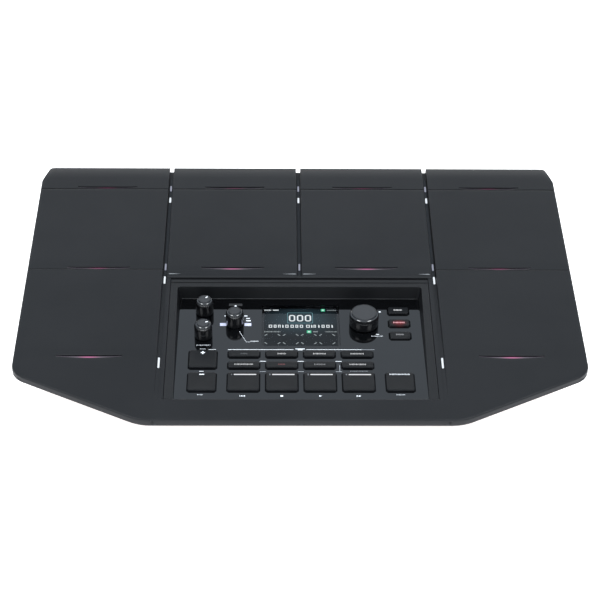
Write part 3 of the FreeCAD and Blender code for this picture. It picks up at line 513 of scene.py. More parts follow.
pad = {"gapEdge": 0.8, "creaseEdge": 0.55, "centreEdge": 3.2, "outerEdge": 2.0, "rimRound": 20.0, "rimDrop": 1.8,
       "slotLength": 61.0, "slotEnd": 1.2, "slotMid": 3.4, "slotDepth": 2.6, "slotLip": 0.35,
       "rimSlotY": deck["rimCreaseY"] + 3.1, "mainSlotY": deck["mainCreaseY"] + 2.9, "lowerSlotY": -96.955268,
       "innerSlotX": 65.25, "outerSlotX": 195.15, "slotRoom": 34.0, "facetDrop": 0.32, "facetLength": 11.0,
       "regularEnd": 240.0, "margin": 3.0, "thinnest": 0.6}
edgeSteps = np.array([0.0, 0.06, 0.18, 0.38, 0.65, 1.0])
sideSteps = (0.15, 0.45, 0.72)
sideCount = len(sideSteps) + len(edgeSteps)


def slotCurves(x, slotX, slotY):
    # rear edge straight, front edge bowed towards the player
    share = np.clip(1 - (2 * (x - slotX) / pad["slotLength"]) ** 2, 0, 1)
    back = along(slotY) + pad["slotEnd"] / 2
    return back - pad["slotEnd"] - (pad["slotMid"] - pad["slotEnd"]) * share, back


def slotColumns(slotX):
    half = pad["slotLength"] / 2
    ends = half + np.array([-0.5, -0.12, 0.0, 0.12, 0.5])
    return slotX + np.concatenate([-ends[::-1], np.linspace(-half + 1.5, half - 1.5, 31), ends])


def slotRows(x, slotX, slotY, front):
    # rows that follow the slot's two edges, with their heights: lip, wall, floor, wall, lip
    bow, back = slotCurves(x, slotX, slotY)
    bow = np.maximum(bow, front + 0.15)
    lip, depth = pad["slotLip"], pad["slotDepth"]
    inside = np.abs(x - slotX) < pad["slotLength"] / 2 - 0.05
    profile = ((2.2 * lip, 0.0), (lip, -0.04), (0.4 * lip, -0.16), (0.0, -lip), (-0.03, -depth))
    rows = [np.maximum(bow - out, front + 0.02 * (5 - out)) for out, _ in profile]
    rows += [bow + (back - bow) * share for share in (0.33, 0.66)]
    rows += [np.full_like(x, back + out) for out, _ in profile[::-1]]
    heights = [height for _, height in profile]
    heights = heights + [-depth, -depth] + heights[::-1]
    return np.array(rows), np.array(heights)[:, None] * inside


def stackRows(before, slot, after):
    # distances up the deck and notches: straight rows, those of the slot, straight rows again
    rows, heights = slot
    first, last = (np.repeat(np.concatenate(part)[:, None], rows.shape[1], 1) for part in (before, after))
    s = np.maximum.accumulate(np.concatenate([first, rows, last]), axis=0)
    return s, np.concatenate([0 * first, heights, 0 * last])


def sideColumns(last, width, margin, edge):
    # columns from the last regular one out to the rim, the last of them in its rounding
    columns = [last + (width - margin - last) * step for step in sideSteps]
    return np.stack(columns + [width - step * edge for step in edgeSteps[::-1]], -1)


def buildPad(name, column, frontY, rearY, slotY, isRim):
    # a pad as a height field: rounded edges, bowed slot, and the rear rounding or the front facet
    outer = column in (1, 4)
    inner = (deck["columnPitch"] if outer else 0.0) + deck["gap"] / 2
    far = deck["columnPitch"] - deck["gap"] / 2
    slotX = pad["outerSlotX" if outer else "innerSlotX"]
    front, rear = along(frontY), along(rearY)
    edge = pad["outerEdge" if isRim else "creaseEdge"]
    frontEdge = pad["creaseEdge" if outer or isRim else "centreEdge"]
    last, count = (pad["regularEnd"], 4) if outer else (far - 2, 9)
    base = np.concatenate([inner + edgeSteps * pad["gapEdge"], np.linspace(inner + 2, slotX - pad["slotRoom"], 9),
                           slotColumns(slotX), np.linspace(slotX + pad["slotRoom"], last, count),
                           [last] * sideCount if outer else far - edgeSteps[::-1] * pad["gapEdge"]])
    before = [front + edgeSteps * frontEdge]
    if slotY - frontY > 6:
        before.append(np.linspace(front + frontEdge + 0.5, along(slotY) - 4.5, 4))
    s, notch = stackRows(before, slotRows(base, slotX, slotY, front + 0.4),
                         [np.linspace(along(slotY) + 2, rear - 2.6, 26), (rear - edgeSteps * edge)[::-1]])
    x = np.tile(base, (len(s), 1))
    if outer:
        x[:, -sideCount:] = sideColumns(last, halfWidth(s[:, 0]), pad["margin"], pad["outerEdge"])
        side = edgeDrop(rimDistance(x, s), pad["outerEdge"])
    else:
        side = edgeDrop(far - x, pad["gapEdge"])
    drop = np.maximum.reduce([edgeDrop(x - inner, pad["gapEdge"]), side, edgeDrop(s - front, frontEdge),
                              edgeDrop(rear - s, edge)])
    if isRim:
        radius = (pad["rimRound"] ** 2 + pad["rimDrop"] ** 2) / (2 * pad["rimDrop"])
        curl = np.clip(s - (rear - pad["rimRound"]), 0, None)
        drop += radius - np.sqrt(radius ** 2 - curl ** 2)
    else:
        drop += pad["facetDrop"] * np.clip((front + pad["facetLength"] - s) / pad["facetLength"], 0, 1)
    n = np.maximum(notch - drop, pad["thinnest"] - deck["rubber"])
    addPiece(name + "_skin", closedShell(x if column > 2 else -x, s, n, -deck["rubber"]), "rubber",
             replaces=name, sharp=50.0)


for column in range(1, 5):
    frontY = deck["mainCreaseY" if column in (1, 4) else "centreFrontY"]
    half = deck["crease"] / 2
    buildPad("rim_pad_%d" % column, column, deck["rimCreaseY"] + half, deck["rearY"], pad["rimSlotY"], True)
    buildPad("main_pad_%d" % column, column, frontY + half, deck["rimCreaseY"] - half, pad["mainSlotY"], False)
print("pads built")


lower = {"landDrop": 1.5, "channelRear": 4.2, "channelFront": 0.3, "facetY": -87.9, "facetDrop": 0.3,
         "facetLength": 12.0, "margin": 2.2, "apronEdge": 0.5}


def buildLowerSkin():
    # both lower pads and the front apron in one height field, with the recess left out of it
    rear, slot = along(deck["mainCreaseY"] - deck["crease"] / 2), along(pad["lowerSlotY"])
    opening, landRear = along(deck["recessFrontY"]), along(deck["recessRearY"])
    a, c, p = deck["frameInner"], deck["landOuter"], deck["channelOuter"]
    slotX, end = pad["outerSlotX"], pad["regularEnd"]
    base = np.concatenate([np.linspace(0, a - 1, 12), a - np.array([0.4, 0.12, 0.0]), [(a + c) / 2],
                           c + np.array([-0.4, -0.1, 0.0, 0.04]), [(c + p) / 2],
                           p + np.array([-0.04, 0.0, 0.08, 0.25, 0.55, 0.9]),
                           np.linspace(p + 2.5, slotX - pad["slotRoom"], 8), slotColumns(slotX),
                           np.linspace(slotX + pad["slotRoom"], end, 4), [end] * sideCount])
    s, notch = stackRows([edgeSteps * pad["outerEdge"], np.linspace(3.2, opening - 1.2, 12),
                          opening + np.array([-0.6, -0.3, -0.1, 0.0, 0.05]), np.linspace(opening + 2, slot - 6, 12)],
                         slotRows(base, slotX, pad["lowerSlotY"], 0.0),
                         [np.linspace(slot + 2.5, landRear - 1, 24), [landRear, landRear + 0.05],
                          np.linspace(landRear + 1, rear - 1.2, 5), (rear - edgeSteps * pad["creaseEdge"])[::-1]])
    width = halfWidth(s[:, 0])
    x = np.tile(base, (len(s), 1))
    # beside the slanted front corners the columns past the channel are squeezed
    squeeze = np.minimum(1, (width - pad["margin"] - p - 1) / (end - p - 1))
    beyond = base > p + 1
    x[:, beyond] = p + 1 + (base[beyond] - p - 1) * squeeze[:, None]
    last = x[:, -sideCount - 1]
    x[:, -sideCount:] = sideColumns(last, width, lower["margin"], np.minimum(pad["outerEdge"], width - last))
    share = np.clip((s - opening) / (landRear - opening), 0, 1)
    past = s > opening + 0.02
    land = (x > a - 0.01) & (x < c + 0.01) & past
    channel = (x > c + 0.02) & (x < p - 0.02) & past
    lip = np.where(past & (x >= p - 0.01), edgeDrop(x - p, pad["gapEdge"]), 0)
    lip = np.where(s > landRear, lip, lip * np.clip(share * 3, 0, 1))
    apron = np.where((x < a + 0.01) & (s <= opening + 0.01), edgeDrop(opening - s, lower["apronEdge"]), 0)
    drop = np.maximum.reduce([edgeDrop(rimDistance(x, s), pad["outerEdge"]), edgeDrop(rear - s, pad["creaseEdge"]),
                              lip, apron])
    facet = lower["facetDrop"] * np.clip((along(lower["facetY"]) - s) / lower["facetLength"], 0, 1)
    drop = drop + facet * np.clip((x - c) / (p - c), 0, 1)
    drop = np.where(land, lower["landDrop"] * share, drop)
    drop = np.where(channel, lower["channelFront"] + (lower["channelRear"] - lower["channelFront"]) * share, drop)
    n = np.maximum(notch - drop, pad["thinnest"] - deck["rubber"])
    x, s, n = (np.concatenate([side * part[:, :0:-1], part], axis=1) for side, part in ((-1, x), (1, s), (1, n)))
    midX = np.abs(x[:-1, :-1] + x[1:, 1:]) / 2
    midS = (s[:-1, :-1] + s[1:, 1:]) / 2
    keep = ~((midX < a) & (midS > opening)) & ~((midX < p) & (midS > landRear))
    addPiece("lower_pad_skin_piece", closedShell(x, s, n, -deck["rubber"], keep), "rubber",
             replaces="lower_pad_skin", sharp=50.0)


slotLens = {"rim": 0.4, "bowGap": 0.08, "share": 0.66, "low": -1.15, "crown": 0.45}


def buildSlotLenses():
    # a crescent lens in the front two thirds of each slot, crowned as a parabola from front to rear
    slots = [(x, y) for y in (pad["rimSlotY"], pad["mainSlotY"]) for x in (pad["innerSlotX"], pad["outerSlotX"])]
    slots.append((pad["outerSlotX"], pad["lowerSlotY"]))
    across = np.linspace(0, 1, 7)[:, None]
    n = slotLens["low"] + slotLens["crown"] * 4 * across * (1 - across)
    shells = []
    for slotX, slotY in [(-x, y) for x, y in slots] + slots:
        x = slotX + np.linspace(-1, 1, 41) * (pad["slotLength"] / 2 - slotLens["rim"])
        bow, back = slotCurves(x, slotX, slotY)
        bow = bow + slotLens["bowGap"]
        shells.append(closedShell(x, bow + (back - bow) * slotLens["share"] * across, n, -deck["rubber"]))
    addPiece("slot_lenses", joined(shells), "slotGlow", replaces="slot_light_guides", sharp=50.0)


buildLowerSkin()
buildSlotLenses()


def ringOutline(width, height, radius, steps=7):
    # rounded rectangle about the origin, anticlockwise
    radius = min(radius, width / 2 - 1e-3, height / 2 - 1e-3)
    turns = np.radians(np.linspace(0, 90, steps))
    quarter = np.stack([np.cos(turns), np.sin(turns)], -1) * radius
    parts = []
    for c, w, sx, sy in ((1, 0, 1, 1), (0, 1, -1, 1), (-1, 0, -1, -1), (0, -1, 1, -1)):
        turned = np.stack([quarter[:, 0] * c - quarter[:, 1] * w, quarter[:, 0] * w + quarter[:, 1] * c], -1)
        parts.append(turned + (sx * (width / 2 - radius), sy * (height / 2 - radius)))
    return np.concatenate(parts)


def closeRings(rings):
    # stacked rings of equal length, joined and closed by a fan at each end
    count = rings.shape[1]
    points = rings.reshape(-1, 3)
    here = np.arange(count)
    ahead, last = np.roll(here, -1), len(points) - count
    low = np.stack([np.full(count, len(points)), ahead, here], -1)
    high = np.stack([np.full(count, len(points) + 1), last + here, last + ahead], -1)
    faces = [*gridFaces(len(rings), count, True), *low, *high]
    return np.concatenate([points, rings[[0, -1]].mean(1)]), faces


def prisms(name, outlines, low, high, material, body="root", upright=False):
    # closed prints: each outline is carried from low to high, along Z or, when upright, along Y
    shells = []
    for outline in outlines:
        x, y = outline.T
        if ((x * np.roll(y, -1) - np.roll(x, -1) * y).sum() > 0) == upright:
            outline = outline[::-1]
        size = len(outline)
        points = np.column_stack([np.tile(outline, (2, 1)), np.repeat((low, high), size)])
        here = np.arange(size)
        ahead = np.roll(here, -1)
        sides = np.stack([here, ahead, ahead + size, here + size], -1)
        shells.append((points[:, [0, 2, 1]] if upright else points, [here[::-1], here + size, *sides]))
    addPiece(name, joined(shells), material, body, sharp=30.0)


def bar(cx, cy, width, height, radius=0.0):
    if radius > 0:
        return ringOutline(width, height, radius, 4) + (cx, cy)
    return np.array([(-1, -1), (1, -1), (1, 1), (-1, 1)]) * (width / 2, height / 2) + (cx, cy)


def disc(cx, cy, radius):
    turns = np.linspace(0, 2 * math.pi, 20, endpoint=False)
    return np.stack([cx + radius * np.cos(turns), cy + radius * np.sin(turns)], -1)


def line(start, end, width):
    start, end = np.array(start), np.array(end)
    run = (end - start) / np.linalg.norm(end - start)
    side = np.array([-run[1], run[0]]) * width / 2
    return np.array([start - side, end - side, end + side, start + side])


def frameStrip(centre, outer, inner, radii, steps=4):
    # a flat frame between two rounded rectangles, cut into four-cornered runs
    out, within = (ringOutline(*size, radius, steps) + centre for size, radius in zip((outer, inner), radii))
    return list(np.stack([within, out, np.roll(out, -1, 0), np.roll(within, -1, 0)], 1))


def comb(cx, cy, width, height, count, fill=0.45):
    # stand-in for a printed word: thin upright bars, some of them shorter
    pitch = width / count
    tall = np.resize((1.0, 0.62, 0.85, 1.0, 0.7), count) * height
    return [bar(cx - width / 2 + pitch * (k + 0.5), cy, pitch * fill, tall[k]) for k in range(count)]


def marks(bars, words=()):
    return [bar(*row) for row in bars] + [tick for row in words for tick in comb(*row)]


# strokes of the figures in a square of one by one, each a chain of points
digitStrokes = {"1": [[(0.2, 0.75), (0.5, 1), (0.5, 0)]],
                "2": [[(0, 1), (1, 1), (1, 0.5), (0, 0.5), (0, 0), (1, 0)]],
                "3": [[(0, 1), (1, 1), (1, 0), (0, 0)], [(0.2, 0.5), (1, 0.5)]],
                "4": [[(0, 1), (0, 0.45), (1, 0.45)], [(0.75, 1), (0.75, 0)]],
                "5": [[(1, 1), (0, 1), (0, 0.5), (1, 0.5), (1, 0), (0, 0)]],
                "6": [[(1, 1), (0, 1), (0, 0), (1, 0), (1, 0.5), (0, 0.5)]]}


def digit(text, cx, cy, width, height, stroke):
    # each stroke is longer by half its width at both ends
    made = []
    for chain in digitStrokes[text]:
        points = (np.array(chain) - 0.5) * (width, height) + (cx, cy)
        for start, end in zip(points, points[1:]):
            run = (end - start) / np.linalg.norm(end - start) * stroke / 2
            made.append(line(start - run, end + run, stroke))
    return made


keyCap = {"corner": 1.5, "dish": 0.10, "flange": 0.8, "well": 0.42, "dishStep": (5.4, 5.0), "dishCorner": 0.8,
          # drop below the face, then how far the ring steps in at the sides and at the front and rear
          "profile": ((-2.6, 0.0, 0.0), (-2.0, 0.12, 0.05), (-0.85, 0.62, 0.3), (-0.45, 0.8, 0.42),
                      (-0.2, 0.95, 0.56), (-0.06, 1.15, 0.76), (0.0, 1.45, 1.05))}
printLift = 0.05
wells = []


def buildKey(body, material):
    # cap lofted from rounded rectangles: drafted sides, a soft edge and a faintly dished face
    low, high, middle = boxOf(body)
    size = (high - low)[:2] - 2 * keyCap["flange"]
    levels = [(size - (2 * side, 2 * front), keyCap["corner"] - front * 0.5, drop)
              for drop, side, front in keyCap["profile"]]
    levels.append((size - keyCap["dishStep"], keyCap["dishCorner"], -keyCap["dish"]))
    rings = [np.insert(ringOutline(*extent, corner) + middle[:2], 2, high[2] + drop, axis=1)
             for extent, corner, drop in levels]
    addPiece(body + "_cap", closeRings(np.array(rings)), material, body, body, 60.0)
    wells.append((middle[:2], size))
    return middle[0], high[2] - keyCap["dish"]


# stand-ins for the words on the keys: material, width, number of bars
menuWords = (("dimLegend", 6.4, 6), ("legend", 8.0, 7), ("legend", 12.2, 10), ("legend", 12.6, 11),
             ("legend", 17.4, 15), ("dimRed", 6.6, 5), ("midLegend", 10.6, 8), ("legend", 15.6, 13))
pageWords = (("legend", 8.2, 7), ("redLegend", 11.0, 9), ("midLegend", 7.8, 7))
# places of the marks along Y
markRows = {"menu": (-89.15, -104.35), "pages": (-24.1, -43.0, -60.9), "track": -118.75, "plus": -87.85,
            "minus": -118.65, "cancel": -118.35}


def keyMarks():
    # for every key: ending of the mark's name, material, outlines counted from the key's middle along X
    made = {}
    for k, (material, width, count) in enumerate(menuWords):
        made["menu_button_%d" % (k + 1)] = [("legend", material, comb(0, markRows["menu"][k // 4], width, 1.9, count))]
    for k, (material, width, count) in enumerate(pageWords):
        word = comb(-0.3, markRows["pages"][k], width, 2.0, count, 0.6)
        made["page_button_%d" % (k + 1)] = [("legend", material, word)]
    for number in "1234":
        made["track_button_" + number] = [
            ("bar", "legend", [bar(1.4, markRows["track"], 20.6, 1.35, 0.5)]),
            ("number", "grey", digit(number, -10.9, markRows["track"], 0.9, 1.6, 0.3))]
    plus = marks([(-0.2, markRows["plus"], 4.0, 1.15, 0.2), (-0.2, markRows["plus"], 1.15, 4.0, 0.2)])
    made["plus_button"] = [("mark", "white", plus)]
    made["minus_button"] = [("mark", "white", [bar(-0.2, markRows["minus"], 4.6, 1.1, 0.2)])]
    made["cancel_button"] = [("mark", "white", comb(0, markRows["cancel"], 19.0, 1.8, 17))]
    return made


def buildKeys():
    for body, parts in keyMarks().items():
        cx, z = buildKey(body, "litKey" if parts[0][1] == "redLegend" else "key")
        for ending, material, outlines in parts:
            prisms(body + "_" + ending, [outline + (cx, 0) for outline in outlines], z - 0.02, z + printLift,
                   material, body)


def buildWells():
    # the dark seam in the panel round each key
    seams = []
    for centre, size in wells:
        seams += frameStrip(centre, size + 2 * keyCap["well"], size - 0.1, (1.6, 1.6))
    prisms("panel_key_seams", seams, panelTop - 0.05, panelTop + 0.03, "seam")


buildKeys()
buildWells()
print("keys built")


# cap: radius of the face; pointer: its turn in degrees; shoulder and sink: drops below the top;
# lip: from the face to the ring
smallKnob = {"cap": 5.7, "pointer": None, "teeth": 36, "tooth": 0.24, "shoulder": 4.2, "lip": 0.7, "sink": 0.35}
knobs = {"level": dict(smallKnob, pointer=55.0), "phones": dict(smallKnob, pointer=22.0), "effect": smallKnob,
         "dial": {"cap": 11.7, "pointer": None, "teeth": 58, "tooth": 0.42, "shoulder": 4.9, "lip": 0.6, "sink": 0.6}}
knobRing = {"width": 0.9, "groove": 1.5}


def revolved(middle, profile, steps, teeth=0):
    # radius and height down a profile, turned about the axis; a row's third number is how deep the teeth cut
    profile = np.array([(*row, 0)[:3] for row in profile])
    turns = np.linspace(0, 2 * math.pi, steps, endpoint=False)
    ripple = 1 - np.abs(np.cos(turns * teeth / 2)) ** 0.8
    r = profile[:, :1] - profile[:, 2:] * ripple
    x, y = middle[0] + r * np.cos(turns), middle[1] + r * np.sin(turns)
    return closeRings(np.stack(np.broadcast_arrays(x, y, profile[:, 1:2]), -1))


def buildKnob(name):
    # from below: foot, plain side, toothed shoulder, polished ring at 45 degrees, cap with turned circles
    low, high, middle = boxOf(name + "_knob")
    shape, body, base, top = knobs[name], "dial" if name == "dial" else name + "_knob", low[2], high[2]
    radius, cap, tooth = middle[0] - low[0], shape["cap"], shape["tooth"]
    shoulder, band, deep = top - shape["shoulder"], knobRing["width"], top - knobRing["groove"]
    out = cap + shape["lip"]
    inside, under = out + band, top - shape["sink"] - band
    share = np.linspace(0.1, 0.9, 5)
    flare = radius - (radius - inside - 0.1) * share ** 1.6
    side = [(radius - 1.1, base), (radius - 0.45, base), (radius - 0.12, base + 0.12), (radius, base + 0.45),
            (radius, shoulder - 0.5), (radius, shoulder - 0.15), (radius - 0.02, shoulder, tooth * 0.5),
            *zip(flare, shoulder + (under - 0.25 - shoulder) * share, [tooth] * 5),
            (inside + 0.06, under - 0.2, tooth * 0.3), (inside, under - 0.08), (inside - 0.12, under - 0.03),
            (out - 0.1, deep - 0.15), (cap - 0.6, deep - 0.15)]
    collar = [(inside - 0.3, under - 0.1), (inside, under), (inside - 0.04, under + 0.06),
              (out + band * 0.52, under + band * 0.53), (out, under + band - 0.03), (out - 0.07, under + band),
              (out - 0.14, under + band - 0.06), (out - 0.16, deep), (cap - 0.3, deep - 0.05)]
    face = [(cap - 0.05, deep), (cap - 0.05, top - 0.14), (cap - 0.14, top - 0.03), (cap - 0.34, top),
            (cap - 0.5, top - 0.03), (cap - 0.58, top - 0.26), (cap - 0.8, top - 0.26)]
    face += [(r, top - 0.08 - 0.014 * (k % 2)) for k, r in enumerate(np.arange(cap - 0.88, 0.5, -0.34))]
    addPiece(name + "_knob_body", revolved(middle, side, shape["teeth"] * 5, shape["teeth"]), "knob", body,
             name + "_knob", 70.0)
    addPiece(name + "_knob_ring", revolved(middle, collar, 120), "knobRing", body, sharp=35.0)
    addPiece(name + "_knob_face", revolved(middle, face, 96), "cap", body, sharp=60.0)
    if shape["pointer"] is not None:
        turn = math.radians(shape["pointer"])
        ahead = np.array([math.cos(turn), math.sin(turn)])
        pointer = line(middle[:2] + ahead * 2.2, middle[:2] + ahead * (cap - 0.9), 1.15)
        prisms(name + "_knob_pointer", [pointer], top - 0.12, top - 0.02, "white", body)


for name in knobs:
    buildKnob(name)
print("knobs built")


# Print on the panel. Bars: middle along X and Y, width, height, corner radius; words the same, with the
# number of bars and how much of its pitch each one fills; arrows: tip, back, half height
panelPrint = {
    "bars": ((-37.0, -80.9, 61.0, 0.55), (31.2, -80.8, 51.6, 0.5), (-0.3, -79.9, 8.8, 1.0, 0.3),
             (-0.3, -81.3, 4.6, 0.8, 0.3), (-35.0, -97.7, 5.6, 0.62), (0.0, -97.7, 5.6, 0.62),
             (35.0, -97.7, 5.6, 0.62), (-55.4, -145.95, 0.45, 1.9), (-17.6, -145.95, 2.4, 1.9),
             (-91.2, -112.0, 3.9, 0.6), (-82.2, -80.9, 7.0, 0.4), (-51.6, -31.0, 3.2, 1.4, 0.3),
             (-49.4, -34.8, 3.6, 1.3, 0.4), (-49.0, -38.2, 4.6, 1.7, 0.4), (72.9, -58.3, 3.2, 0.7, 0.3)),
    "words": ((90.0, -144.2, 8.2, 1.3, 7, 0.36), (-91.6, -144.3, 5.2, 1.3, 4, 0.4),
              (-90.6, -74.6, 13.4, 1.5, 12, 0.3), (-91.0, -80.1, 5.4, 1.2, 5, 0.36),
              (-42.8, -68.8, 7.8, 1.6, 7, 0.4), (72.5, -61.0, 11.4, 1.5, 10, 0.36)),
    "dots": ((-61.6, -15.8, 1.1), (-71.3, -31.1, 0.75), (76.6, -24.4, 1.05)),
    "lines": (((-57.3, -54.1), (-50.7, -69.7), 0.26), ((-50.8, -69.75), (-47.0, -69.75), 0.26)),
    "arrowY": -145.95,
    "arrows": ((-55.0, -53.0, 0.95), (-52.8, -50.8, 0.95), (18.6, 16.3, 1.1), (52.0, 50.0, 0.95), (54.2, 52.2, 0.95)),
    "smallBars": ((-35.0, -112.3, 5.4, 0.55), (0.0, -112.3, 5.4, 0.55), (35.0, -112.3, 5.4, 0.55),
                  (35.9, -107.4, 0.5, 9.0), (63.2, -80.8, 12.0, 0.5)),
    "smallWords": ((53.5, -111.6, 16.5, 0.9, 15),),
    # a faint grey patch on the panel beside a dot
    "faint": ((-61.6, -13.8, 12.8, 3.6, 0.4),),
    "tabs": ((-72.9, -43.9, 6.0, 4.2), (-49.4, -43.9, 6.4, 4.2))}


def buildPanelPrint():
    low, high, y = panelTop - 0.02, panelTop + printLift, panelPrint["arrowY"]
    white = marks(panelPrint["bars"], panelPrint["words"]) + [disc(*row) for row in panelPrint["dots"]]
    white += [line(*row) for row in panelPrint["lines"]]
    white += [np.array([(tip, y), (back, y - half), (back, y + half)]) for tip, back, half in panelPrint["arrows"]]
    small = marks(panelPrint["smallBars"], panelPrint["smallWords"])
    prisms("panel_print", white, low, high, "white")
    prisms("panel_print_small", small, low, high, "grey")
    prisms("panel_faint_grey_patch", marks(panelPrint["faint"]), low, high - 0.02, "faint")
    prisms("panel_print_tabs", marks(panelPrint["tabs"]), low, high, "lilac")


screenPrint = {
    "zeros": (-7.4, 0.2, 7.8), "zeroY": -31.0, "zeroSize": (6.0, 9.6), "zeroInner": (3.3, 6.9),
    "zeroRadii": (2.52, 1.17),
    # line of large letters: place along X and width of each
    "letters": ((-28.0, 3.2), (-23.6, 2.6), (-19.6, 2.4), (-16.2, 1.2), (-12.4, 3.0), (-7.4, 3.0), (-3.0, 2.6),
                (1.4, 3.0), (7.6, 3.4), (11.2, 1.2), (14.0, 2.2), (18.0, 1.2), (22.0, 2.8), (26.6, 3.0), (30.6, 1.2)),
    "bars": ((-23.0, -18.8, 5.6, 1.2, 0.3),), "words": ((-30.6, -18.9, 6.8, 1.9, 5, 0.6),),
    "squares": ((22.3, -18.8, 3.8, 3.6, 0.4), (8.5, -51.4, 4.2, 3.9, 0.4)),
    "cores": ((22.3, -18.8, 1.6, 1.6, 0.3), (8.5, -51.4, 1.8, 1.8, 0.3)),
    "greyBars": ((14.6, -51.4, 4.6, 1.3, 0.3),),
    "greyWords": ((30.6, -18.9, 9.2, 1.5, 8, 0.6), (-26.2, -51.4, 15.6, 2.0, 12, 0.6),
                  (29.6, -51.4, 11.0, 1.6, 10, 0.6)),
    "frame": ((0.2, -30.6), (24.4, 16.0), (23.4, 15.0), (1.0, 1.0)),
    # four fields with cut corners: left ends, width, rear and front, length of a cut
    "fields": (-33.4, -16.2, 0.9, 18.2), "fieldWidth": 14.6, "fieldY": (-55.0, -69.5), "cut": 2.3,
    "maskWidth": 2.0}


def buildScreen():
    shape, low, high = screenPrint, screenTop, screenTop + 0.03
    white = marks(shape["bars"], shape["words"])
    for x in shape["zeros"]:
        white += frameStrip((x, shape["zeroY"]), shape["zeroSize"], shape["zeroInner"], shape["zeroRadii"], 8)
    for x, width in shape["letters"]:
        white += marks([(x - width / 2 + 0.4, -43.2, 0.8, 4.2), (x + width / 2 - 0.4, -43.6, 0.8, 3.4)])
        white += marks([(x, -41.5, width, 0.8)]) if width > 2.0 else []
        white += marks([(x, -44.9, width, 0.8)]) if width > 2.5 else []
    grey, cut = marks(shape["greyBars"], shape["greyWords"]), shape["cut"]
    for left in shape["fields"]:
        for px, sx in ((left, cut), (left + shape["fieldWidth"], -cut)):
            for py, sy in zip(shape["fieldY"], (-cut, cut)):
                grey.append(line((px, py + sy), (px + sx, py), 0.95))
    prisms("screen_figures", white, low, high, "screenWhite")
    prisms("screen_frame", frameStrip(*shape["frame"]), low, high, "screenBlue")
    prisms("screen_squares", marks(shape["squares"]), low, high, "screenGreen")
    prisms("screen_marks", grey, low, high, "screenGrey")
    # black mask between the display and the sides of its window
    start, end, middle = boxOf("display_lens")
    size = (end - start)[:2] - 0.1
    mask = frameStrip(middle[:2], size, size - 2 * shape["maskWidth"], (1.0, 1.0))
    prisms("screen_mask", mask, low - 0.5, low + 0.04, "gloss")
    prisms("screen_square_cores", marks(shape["cores"]), high - 0.01, high + 0.02, "screenWhite")


buildPanelPrint()
buildScreen()
print("panel print and screen built")


rearParts = {"jackX": (-168.0, -138.0, -100.0, -70.0, -32.0, -2.0), "jackZ": 31.0,
             # radius of the contact ring's section and its distance behind the mouth
             "contact": ((3.22, 0.9), (3.22, 3.4), (2.95, 3.6), (2.9, 3.3), (3.0, 0.9)),
             "numberZ": 41.6, "lineZ": 22.6, "groups": ((-174, -132), (-106, -64), (-38, 4)), "groupZ": 44.8,
             "portX": (40.0, 66.0, 100.0, 140.0), "portZ": 41.0}


def buildContactRings():
    # metal rings that show in the jacks: a closed section turned about each jack's axis
    turns = np.linspace(0, 2 * math.pi, 40, endpoint=False)
    radius, back = np.array(rearParts["contact"]).T[:, :, None]
    y, z = boxOf("phone_jacks")[1][1] - back, rearParts["jackZ"] + radius * np.sin(turns)
    faces = gridFaces(len(back), len(turns), True, True)[:, ::-1]
    shells = [(np.stack(np.broadcast_arrays(x + radius * np.cos(turns), y, z), -1).reshape(-1, 3), faces)
              for x in rearParts["jackX"]]
    addPiece("jack_contact_rings", joined(shells), "nickel", sharp=50.0)


def buildRearPrint():
    # numbers and bars on the rear wall, seen from behind: x runs the other way
    wallY = boxOf("phone_jack_nuts")[0][1]
    outlines = marks([(x, rearParts["lineZ"], 8.0, 0.5) for x in rearParts["jackX"]]
                     + [((a + b) / 2, rearParts["groupZ"], b - a, 0.4) for a, b in rearParts["groups"]]
                     + [(x, rearParts["portZ"], 7.0, 0.9, 0.2) for x in rearParts["portX"]])
    for number, x in zip("123456", rearParts["jackX"]):
        outlines += [stroke * (-1, 1) + (x, 0) for stroke in digit(number, 0, rearParts["numberZ"], 1.7, 2.7, 0.45)]
    prisms("rear_print", outlines, wallY - 0.02, wallY + 0.06, "grey", upright=True)


buildContactRings()
buildRearPrint()
print("rear details built")


# the chain gives the section of the centre pads' front: place along Y, height over the deck
lips = {"chain": ((17.5, -0.30), (15.0, -0.29), (12.5, -0.42), (10.6, -0.66), (9.7, -0.88), (9.2, -1.12),
                  (9.0, -1.42)), "floor": -1.9}


def buildPadLips():
    # the front of each centre pad slopes down onto the flange: a strip whose section is the lip chain
    chain = np.array(lips["chain"])[::-1]
    inner, outer = deck["gap"] / 2, deck["columnPitch"] - deck["gap"] / 2
    ends = np.array([0.0, 0.12, 0.35, 0.8])
    spots = np.concatenate([inner + ends, np.linspace(inner + 3, outer - 3, 20), outer - ends[::-1]])
    sag = edgeDrop(np.minimum(spots - inner, outer - spots), pad["gapEdge"])
    n = np.maximum(chain[:, 1:] - sag, chain[:, 1].min())
    shells = [closedShell(spots * side, along(chain[:, :1]), n, lips["floor"]) for side in (-1, 1)]
    addPiece("centre_pad_lips", joined(shells), "rubber", sharp=50.0)


trim = {"seams": ((1.5, 2.5), (6.3, 8.9)), "seamHalf": 123.9, "seamTop": -1.385, "seamFloor": -1.7,
        "beadY": -4.35, "beadRadius": 0.34, "beadHalf": 118.9}


def buildBezelTrim():
    # thin dark seams across the rear flange, a half-round bead where the rear wall meets the panel
    x = np.array([-1.0, 1.0]) * trim["seamHalf"]
    shells = [closedShell(x, along(np.array(seam))[:, None], trim["seamTop"], trim["seamFloor"])
              for seam in trim["seams"]]
    addPiece("bezel_flange_seams", joined(shells), "seam")
    turns = np.radians(np.linspace(0, 180, 9))
    x = np.array([[-1.0], [1.0]]) * trim["beadHalf"]
    y, z = trim["beadY"] - trim["beadRadius"] * np.cos(turns), panelTop + trim["beadRadius"] * np.sin(turns)
    addPiece("bezel_foot_bead", closeRings(np.stack(np.broadcast_arrays(x, y, z), -1)), "bead")


